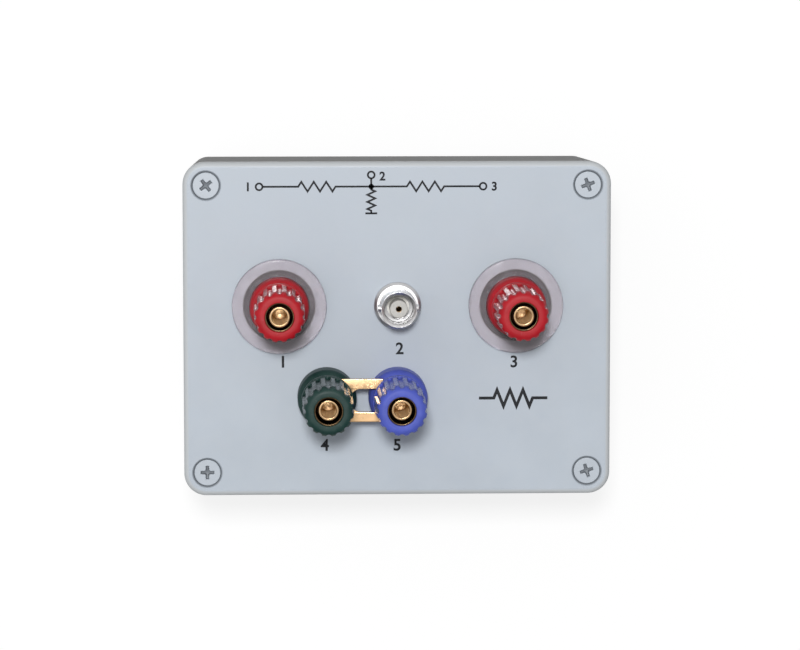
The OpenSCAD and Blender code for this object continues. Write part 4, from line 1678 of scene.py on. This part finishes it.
@dataclass
class ShortingLink:
    """The sheared metal link, with a hole on the ground stud and an open slot at the guard stud.

    Attributes:
        half_width: Half the width of the link.
        slot_start: Where the slot starts.
        mouth_gap: Clearance of the guard stud as it leaves the link.
        stud: Radius of the studs.
        edge: Rounding of the sheared edges.
    """

    half_width: float = 5.75 * MM
    slot_start: float = 5.9 * MM
    mouth_gap: float = 0.25 * MM
    stud: float = 3 * MM
    edge: float = 0.16 * MM

    def outline(self, pitch: float) -> Array:
        """Draws the outline anticlockwise about the ground stud, out to the guard stud.

        Args:
            pitch: Distance between the two studs.

        Returns:
            Rows of x and y.
        """
        w, r = self.half_width, CLAMP_HOLE
        mouth_low = math.sqrt(pitch ** 2 - w ** 2) - self.stud - self.mouth_gap
        end_angle = math.degrees(math.acos(r / w))
        return np.concatenate([
            arc(0, 0, w, 90, 270), arc(pitch, 0, w, -90, end_angle), arc(pitch, 0, r, 0, -90),
            arc(self.slot_start + r, 0, r, -90, -270), [(mouth_low, r), (mouth_low, w)]])

    def build(self) -> None:
        """Makes the link."""
        low, high = heights("shorting_link")
        x, y = middle("ground_stud")
        outline = self.outline(middle("guard_stud")[0] - x)
        # Insets and heights of the loops down an edge, rounded over and under
        edge, bend = self.edge, 0.3 * self.edge
        levels = [(edge, high), (bend, high - bend), (0, high - edge),
                  (0, low + edge), (bend, low + bend), (edge, low)]
        shrink = mitred(outline, closed=True)
        outer = [np.column_stack([outline + shift * shrink + [x, y], np.full(len(outline), z)])
                 for shift, z in levels]
        hole = [circle_loop(x, y, CLAMP_HOLE + shift, z) for shift, z in levels]
        finished("guard_link", plate(outer, [hole]), GOLD, "link", "shorting_link")


@dataclass
class CoaxialJack:
    """The bayonet jack for the middle of the network: shell, lugs, insulator and contact.

    Heights are above the panel.

    Attributes:
        thread: Radius of the mounting thread.
        thread_length: Its length.
        flange_height: Thickness of the flange.
        barrel: Radius of the barrel.
        bore: Radius of its bore.
        bore_depth: Depth of its bore.
        core: Radius of the hole for the insulator.
        lug: Radius of a bayonet lug.
        lug_reach: Distance of a lug's end from the axis.
        lug_back: Depth of the lugs behind the front.
        nose: Radius of the insulator's nose.
        nose_sink: Depth of the nose behind the front.
        lip: Radius of the hole in the nose's face.
        lip_depth: Depth of that hole in front of the contact.
        contact: Radius of the contact.
        contact_bore: Radius of its hole.
        pin: Radius of its solder pin.
        mouth: Width of the bevel round the front of the bore.
        mouth_depth: Depth of that bevel.
        mouth_edge: Rounding of its outer edge.
        lip_edge: Rounding of the hole in the nose.
        floor_shade: Painted shade on the floor of the bore.
        nose_shade: Painted shade on the insulator in the bore.
        contact_shades: Painted shades of the contact at its front and behind it.
    """

    thread: float = 4.75 * MM
    thread_length: float = 9.5 * MM
    flange_height: float = 2.2 * MM
    barrel: float = 4.8 * MM
    bore: float = 4.05 * MM
    bore_depth: float = 8.8 * MM
    core: float = 3 * MM
    lug: float = 1 * MM
    lug_reach: float = 5.5 * MM
    lug_back: float = 4.9 * MM
    nose: float = 2.4 * MM
    nose_sink: float = 2 * MM
    lip: float = 0.8 * MM
    lip_depth: float = 0.6 * MM
    contact: float = 1.1 * MM
    contact_bore: float = 0.7 * MM
    pin: float = 0.7 * MM
    mouth: float = 0.6 * MM
    mouth_depth: float = 0.36 * MM
    mouth_edge: float = 0.05 * MM
    lip_edge: float = 0.12 * MM
    floor_shade: float = 0.6
    nose_shade: float = 0.42
    contact_shades: Pair = (0.6, 0.85)

    def shell(self, flange: float, height: float) -> Shape:
        """Turns the shell, and adds its two bayonet lugs.

        Args:
            flange: Radius of the flange.
            height: Height of the front.

        Returns:
            The shell and its lugs, about Z.
        """
        bevel = (flange - self.barrel) / 2
        floor = height - self.bore_depth
        root = self.bore + SOFT
        ring_depths = (0.2, 0.35, 0.5, 0.75)
        body = revolved(filleted([
            (self.core, -self.thread_length), (self.thread, -self.thread_length, SOFT),
            (self.thread, 0), (flange, 0, HAIR), (flange, self.flange_height - bevel, SMALL),
            (flange - bevel, self.flange_height, SMALL), (self.barrel, self.flange_height, FINE),
            (self.barrel, height, HAIR), (self.bore + self.mouth, height, self.mouth_edge),
            (self.bore, height - self.mouth_depth, FINE),
            *[(self.bore, height - share * self.bore_depth) for share in ring_depths],
            (self.bore, floor, HAIR), (self.core, floor)]))
        lug = revolved(filleted([
            (0, root), (self.lug, root), (self.lug, self.lug_reach, EVEN), (0, self.lug_reach)]),
            COLUMNS // 3).laid_along_x().moved(z=height - self.lug_back)
        # Painted light down the wall of the bore and painted shade on its floor
        shades = {0: 0, self.mouth: 0, 2 * self.mouth: -1, 0.7 * self.bore_depth: -1,
                  self.bore_depth: self.floor_shade}
        body = body.shaded_inside(self.bore + PAST, height, shades)
        return Shape.joined([body, lug, lug.turned(math.pi)])

    def insulator(self, height: float) -> Shape:
        """Turns the insulator with its nose in the barrel.

        Args:
            height: Height of the shell's front.

        Returns:
            The insulator, about Z.
        """
        floor = height - self.bore_depth
        face = height - self.nose_sink
        shape = revolved(filleted([
            (self.contact, -self.thread_length), (self.core, -self.thread_length),
            (self.core, floor), (self.nose, floor), (self.nose, face, SOFT),
            (self.lip, face, self.lip_edge), (self.lip, face - self.lip_depth),
            (self.contact, face - self.lip_depth)]), COLUMNS // 2)
        # Painted shade on the nose in the bore
        return replace(shape, shade=np.where(shape.points[:, 2] > floor, self.nose_shade, 0))

    def centre_contact(self, height: float) -> Shape:
        """Turns the contact that a plug's pin enters, with its solder pin behind the panel.

        Args:
            height: Height of the shell's front.

        Returns:
            The contact, about Z.
        """
        top = height - self.nose_sink - self.lip_depth
        pin_end = heights("tap_jack_contact")[0] - PANEL_TOP
        shape = revolved(filleted([
            (0, pin_end), (self.pin, pin_end, HAIR), (self.pin, -self.thread_length),
            (self.contact, -self.thread_length), (self.contact, top),
            (self.contact_bore, top, HAIR), (self.contact_bore, 0), (0, 0)]),
            COLUMNS // 2)
        # Painted shade on the contact deep in the nose
        front, behind = self.contact_shades
        return shape.shaded_inside(self.contact, top + HAIR, {0: front, self.lip_depth: behind})

    def build(self) -> None:
        """Makes the shell, the insulator and the contact."""
        x, y = middle("tap_jack_shell")
        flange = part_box("tap_jack_shell")[1].y - y
        height = heights("tap_jack_shell")[1] - PANEL_TOP
        for piece, shape, finish, node in (
                ("bayonet_shell", self.shell(flange, height), NICKEL, "shell"),
                ("jack_insulator", self.insulator(height), WHITE, "insulator"),
                ("jack_contact", self.centre_contact(height), GOLD, "contact")):
            finished(piece, shape.moved(x, y, PANEL_TOP), finish, HOUSING, f"tap_jack_{node}")


@dataclass
class Markings:
    """The dark printing on the panel: terminal numbers, a circuit diagram and a resistor sign.

    Attributes:
        low: Height of the underside of the print.
        high: Height of its face.
        line: Width of the diagram's lines.
        bold_line: Width of the resistor sign's lines.
        digit: Height of the type of the terminal numbers.
        small_digit: Height of the type in the diagram.
        weight: How far the type is thickened.
        numbers: Text, x and y of each terminal number, in millimetres.
        diagram: x of the left and right end, and y, of the diagram's main line.
        terminal: Radius of the diagram's terminals.
        junction: Radius of its middle dot.
        resistor: Length of its series resistors.
        tooth: Height of their teeth.
        shunt: How far its shunt reaches down.
        shunt_leads: Lengths of the shunt's straight ends above and below its teeth.
        slim: Height of the shunt's teeth, as a share of the others'.
        bar: Half the width of the bar at the shunt's foot.
        tap: How far its middle line reaches up.
        beside: Distance of its numbers from the terminals.
        raised: Height of the middle number above the main line.
        sign_place: x of the left and right end, and y, of the resistor sign.
        sign_lead: Length of its straight ends.
        sign_tooth: Height of its teeth.
        teeth: Number of teeth of every resistor, each side counted.
    """

    low: float = PANEL_TOP - 0.02 * MM
    high: float = PANEL_TOP + 0.03 * MM
    line: float = 0.5 * MM
    bold_line: float = 0.8 * MM
    digit: float = 4.4 * MM
    small_digit: float = 3.2 * MM
    weight: float = 0.1 * MM
    numbers: tuple[tuple[str, float, float], ...] = (
        ("1", -30.8, -8.7), ("2", 0.6, -5.2), ("3", 31.4, -8.9), ("4", -19.6, -31.3), ("5", -0.1, -31.4))
    diagram: tuple[float, float, float] = (-37 * MM, 23 * MM, 38.4 * MM)
    terminal: float = 0.9 * MM
    junction: float = 0.75 * MM
    resistor: float = 10 * MM
    tooth: float = 2.6 * MM
    shunt: float = 7.2 * MM
    shunt_leads: Pair = (0.8 * MM, 0.7 * MM)
    slim: float = 0.8
    bar: float = 1.6 * MM
    tap: float = 2.2 * MM
    beside: float = 3 * MM
    raised: float = 2.8 * MM
    sign_place: tuple[float, float, float] = (22 * MM, 40.5 * MM, -18.8 * MM)
    sign_lead: float = 4 * MM
    sign_tooth: float = 4.4 * MM
    teeth: int = 6

    def lettered(self, text: str, x: float, y: float, size: float) -> Shape:
        """Sets a text in the plain built-in typeface, centred on a place on the panel.

        Args:
            text: The text.
            x, y: Where its middle lies.
            size: Height of the type.

        Returns:
            The letters as closed solids, with the points of their caps and sides merged.
        """
        decimals = 8
        curve = bpy.data.curves.new("lettering", "FONT")
        curve.body, curve.size, curve.offset = text, size, self.weight
        curve.extrude = (self.high - self.low) / 2
        setter = placed("lettering", curve)
        seen = setter.evaluated_get(bpy.context.evaluated_depsgraph_get())
        mesh = bpy.data.meshes.new_from_object(seen)
        bpy.data.objects.remove(setter)
        mesh.calc_loop_triangles()
        corners = np.empty(len(mesh.loop_triangles) * 3, int)
        mesh.loop_triangles.foreach_get("vertices", corners)
        points = np.empty(len(mesh.vertices) * 3)
        mesh.vertices.foreach_get("co", points)
        points = np.round(points.reshape(-1, 3), decimals)
        points, number = np.unique(points, axis=0, return_inverse=True)
        triangles = number.reshape(-1)[corners.reshape(-1, 3)]
        apart = (triangles != np.roll(triangles, 1, axis=1)).all(axis=1)
        centre = (points.min(axis=0) + points.max(axis=0)) / 2
        return Shape(points - centre + [x, y, (self.low + self.high) / 2], [triangles[apart]])

    def drawn(self, path: Sequence[Pair], width: float, closed: bool = False) -> Shape:
        """Prints a line along a path."""
        return strip(np.array(path), width, self.low, self.high, closed)

    def zigzag(self, start: Pair, end: Pair, height: float) -> list[tuple]:
        """Draws a resistor sign between two points.

        Tooth k of n peaks at (2 k + 1) / (2 n) of the way, to one side and the other in turn.

        Args:
            start: The one point.
            end: The other.
            height: Height of the teeth.

        Returns:
            Its path.
        """
        along = np.array(end) - start
        across = along[::-1] * [-1, 1] / np.linalg.norm(along) * height / 2
        peaks = [np.array(start) + along * (2 * k + 1) / (2 * self.teeth) + across * (-1) ** k
                 for k in range(self.teeth)]
        return [start, *map(tuple, peaks), end]

    def ring(self, x: float, y: float) -> Shape:
        """Prints a small ring, which stands for a terminal."""
        return self.drawn(circle_loop(x, y, self.terminal, 0, COLUMNS // 3)[:, :2], self.line, closed=True)

    def circuit(self) -> list[Shape]:
        """Prints the T network: two series resistors, the middle terminal and the shunt resistor.

        Returns:
            Its rings, dot, lines and numbers.
        """
        left, right, y = self.diagram
        centre, low = (left + right) / 2, y - self.shunt
        above, below = self.shunt_leads
        dot = [(0, self.low), (self.junction, self.low), (self.junction, self.high), (0, self.high)]
        made = [self.ring(left, y), self.ring(right, y),
                revolved(np.array(dot), COLUMNS // 4).moved(centre, y)]
        for start, end in ((left + self.terminal, centre), (centre, right - self.terminal)):
            first, last = ((start + end + side * self.resistor) / 2 for side in (-1, 1))
            zigzag = self.zigzag((first, y), (last, y), self.tooth)
            made.append(self.drawn([(start, y), *zigzag, (end, y)], self.line))
        shunt = self.zigzag((centre, y - above), (centre, low + below), self.slim * self.tooth)
        for path in ([(centre, y), *shunt, (centre, low)],
                     [(centre - self.bar, low), (centre + self.bar, low)],
                     [(centre, y), (centre, y + self.tap)]):
            made.append(self.drawn(path, self.line))
        made.append(self.ring(centre, y + self.tap + self.terminal))
        places = ((left - self.beside, y), (centre + self.beside, y + self.raised),
                  (right + self.beside, y))
        return made + [self.lettered(str(number), *place, self.small_digit)
                       for number, place in enumerate(places, 1)]

    def sign(self) -> Shape:
        """Prints the bold resistor sign at the right of the panel.

        Returns:
            Its line.
        """
        start, end, y = self.sign_place
        zigzag = self.zigzag((start + self.sign_lead, y), (end - self.sign_lead, y), self.sign_tooth)
        return self.drawn([(start, y), *zigzag, (end, y)], self.bold_line)

    def build(self) -> None:
        """Prints everything as one piece on the panel."""
        digits = [self.lettered(text, x * MM, y * MM, self.digit) for text, x, y in self.numbers]
        finished("printed_marks", Shape.joined([*digits, *self.circuit(), self.sign()]), INK, HOUSING)


# Hidden pieces that keep their CAD solids, by finish
CARRIED = {
    CLEAR: ("source_rear_disc", "output_rear_disc"),
    WHITE: ("guard_rear_washer",),
    NICKEL: ("ground_rear_washer", "post_nuts", "post_lock_washers", "tap_jack_nut",
             "tap_jack_lock_washer"),
    GOLD: ("source_solder_lug", "output_solder_lug", "guard_solder_lug"),
    BROWN: ("source_resistor", "output_resistor"),
    DARK_GREEN: ("shunt_resistor",),
    TINNED: ("source_resistor_leads", "output_resistor_leads", "shunt_resistor_leads"),
}


def dress_carried_nodes() -> None:
    """Gives the CAD nodes that stay in the scene their finishes."""
    for finish, nodes in CARRIED.items():
        for name in nodes:
            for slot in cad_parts[name].material_slots:
                slot.material = finish.material()
            LOG.info("%s: dressed in %s", name, finish.name)


@dataclass
class PhotoCamera:
    """The camera, at the photograph's viewing angle.

    A point p of the panel's frame lies at R p + (right, up, -distance) in the camera's frame, where
    R turns by the yaw about Y, then by the pitch about X, then by the roll about Z.

    Attributes:
        pitch: Turn about X.
        yaw: Turn about Y.
        roll: Turn about Z.
        right: How far the panel's middle lies to the right.
        up: How far it lies up.
        distance: How far away it lies.
        focal_pixels: Focal length in pixels of the image.
        image_width: Width of the image in pixels.
        sight: How far it sees, in metres.
    """

    pitch: float = 0.102
    yaw: float = 0.0375
    roll: float = 0.0004
    right: float = -0.693 * MM
    up: float = -1.102 * MM
    distance: float = 923.4 * MM
    focal_pixels: float = 3434
    image_width: float = 800
    sight: float = 20

    def build(self) -> None:
        """Makes the camera and sets it as the scene's."""
        turn = (Matrix.Rotation(self.roll, 3, "Z") @ Matrix.Rotation(self.pitch, 3, "X")
                @ Matrix.Rotation(self.yaw, 3, "Y")).transposed()
        place = Vector((0, 0, PANEL_TOP)) - turn @ Vector((self.right, self.up, -self.distance))
        data = bpy.data.cameras.new("photo_camera")
        data.sensor_fit = "HORIZONTAL"
        data.lens = self.focal_pixels * data.sensor_width / self.image_width
        data.clip_end = self.sight
        camera = placed("photo_camera", data)
        camera.matrix_world = Matrix.Translation(place) @ turn.to_4x4()
        bpy.context.scene.camera = camera


@dataclass
class Studio:
    """A pale floor, an even sky and one soft lamp a little above the panel's upper side.

    Attributes:
        floor_reach: Half the side of the floor.
        floor_drop: How far the floor lies below the feet, so that the two faces don't coincide.
        floor_grey: How much light the floor throws back on the object.
        floor_seen: Share of the floor's white that shows shadows.
        floor_bright: Share of it that doesn't.
        horizon: Strength of the sky at the horizon.
        zenith: Strength of the sky overhead.
        side: How much brighter the sky is towards -X.
        mirror_lean: Share of a direction's height that metal sees as lying towards +Y.
        mirror_dark: Where the sky in metal is darkest, between -1 towards -Y and 1 towards +Y, and how
            strong it is there.
        lamp_lean: Lean of the lamp from straight above the panel towards +Y.
        lamp_side: Its lean towards -X.
        lamp_distance: Distance of the lamp.
        lamp_size: Side of the lamp.
        lamp_share: Light of the lamp on the panel, as a share of the light that shows colours as written.
    """

    floor_reach: float = 3
    floor_drop: float = 0.05 * MM
    floor_grey: float = 0.2
    floor_seen: float = 0.22
    floor_bright: float = 0.81
    horizon: float = 0.22
    zenith: float = 0.5
    side: float = 1.8
    mirror_lean: float = 0.5
    mirror_dark: Pair = (-0.6, 0.2)
    lamp_lean: float = math.radians(12)
    lamp_side: float = math.radians(3)
    lamp_distance: float = 1.4
    lamp_size: float = 0.16
    lamp_share: float = 0.6

    def floor(self) -> None:
        """Lays the floor.

        Cameras, metal and glass see it white, with the object's shadow. From underneath it is clear.
        """
        r, z = self.floor_reach, -self.floor_drop
        mesh = bpy.data.meshes.new("studio_floor")
        mesh.from_pydata([(-r, -r, z), (r, -r, z), (r, r, z), (-r, r, z)], [], [(0, 1, 2, 3)])
        made = bpy.data.materials.new("studio_floor")
        graph = Graph.of(made)
        dull, shaded = (graph.add("ShaderNodeBsdfDiffuse", {"Color": (grey, grey, grey, 1)}).outputs[0]
                        for grey in (self.floor_grey, self.floor_seen))
        bright = graph.add("ShaderNodeEmission", {"Strength": self.floor_bright}).outputs[0]
        white = graph.add("ShaderNodeAddShader", {0: shaded, 1: bright}).outputs[0]
        mixed = graph.add("ShaderNodeMixShader", {0: self.looked_at(graph), 1: dull, 2: white}).outputs[0]
        under = graph.times(graph.add("ShaderNodeNewGeometry").outputs["Backfacing"],
                           graph.add("ShaderNodeLightPath").outputs["Is Camera Ray"])
        clear = graph.add("ShaderNodeBsdfTransparent").outputs[0]
        mixed = graph.add("ShaderNodeMixShader", {0: under, 1: mixed, 2: clear}).outputs[0]
        graph.add("ShaderNodeOutputMaterial", {"Surface": mixed})
        mesh.materials.append(made)
        placed("studio_floor", mesh)

    def looked_at(self, graph: Graph) -> Socket:
        """Tells the rays that show the studio from those that light the object.

        Args:
            graph: The graph of the floor or the sky.

        Returns:
            1 for rays from the camera, off metal and through glass that no dull surface scattered.
        """
        path = graph.add("ShaderNodeLightPath").outputs
        seen = graph.math("MAXIMUM", path["Is Camera Ray"], path["Is Glossy Ray"])
        seen = graph.math("MAXIMUM", seen, path["Is Transmission Ray"])
        return graph.times(seen, graph.math("LESS_THAN", path["Diffuse Depth"], 0.5))

    def world(self) -> None:
        """Makes the sky.

        Its light comes from overhead. It is white to look at, and metal mirrors it darker towards -Y.
        """
        world = bpy.data.worlds.new("studio_sky")
        graph = Graph.of(world)
        glossy = graph.add("ShaderNodeLightPath").outputs["Is Glossy Ray"]
        direction = graph.add("ShaderNodeTexCoord").outputs["Generated"]
        axis = graph.add("ShaderNodeSeparateXYZ", {0: direction}).outputs
        towards = graph.plus(axis["Y"], graph.times(axis["Z"], self.mirror_lean))
        start, dark = self.mirror_dark
        mirrored = graph.spread(towards, start, 1.0, dark, 1.0)
        white = graph.spread(glossy, 0.0, 1.0, 1.0, 0.0)
        shown = graph.plus(white, graph.times(glossy, mirrored))
        above = graph.plus(axis["Z"], graph.times(axis["X"], -self.side))
        given = graph.spread(above, 0.0, 1.0, self.horizon, self.zenith)
        lit, seen = (graph.add("ShaderNodeBackground", {"Color": (1, 1, 1, 1), "Strength": light})
                     .outputs[0] for light in (given, shown))
        mixed = graph.add("ShaderNodeMixShader", {0: self.looked_at(graph), 1: lit, 2: seen}).outputs[0]
        graph.add("ShaderNodeOutputWorld", {"Surface": mixed})
        bpy.context.scene.world = world

    def lamp(self) -> None:
        """Hangs the lamp. Its power is share pi squared distance squared / cos(lean)."""
        light = bpy.data.lights.new("studio_lamp", "AREA")
        light.size = self.lamp_size
        light.energy = self.lamp_share * math.pi ** 2 * self.lamp_distance ** 2 / math.cos(self.lamp_lean)
        leaning = Matrix.Rotation(-self.lamp_lean, 4, "X") @ Matrix.Rotation(-self.lamp_side, 4, "Y")
        height = self.lamp_distance + PANEL_TOP
        placed("studio_lamp", light).matrix_world = leaning @ Matrix.Translation((0, 0, height))

    def build(self) -> None:
        """Makes the floor, the sky and the lamp."""
        self.floor()
        self.world()
        self.lamp()
        bpy.context.scene.view_settings.view_transform = "Standard"


def main() -> None:
    """Builds the camera, the studio and the part, piece by piece."""
    make_effects()
    PhotoCamera().build()
    Studio().build()
    Enclosure().build()
    Panel().build()
    for node in ("source_disc", "output_disc"):
        SignalDisc(node).build()
    for role in Role:
        BindingPost(role).build()
    ShortingLink().build()
    CoaxialJack().build()
    dress_carried_nodes()
    Markings().build()


if __name__ == "__main__":
    logging.basicConfig(level=logging.INFO, format="%(message)s")
    main()
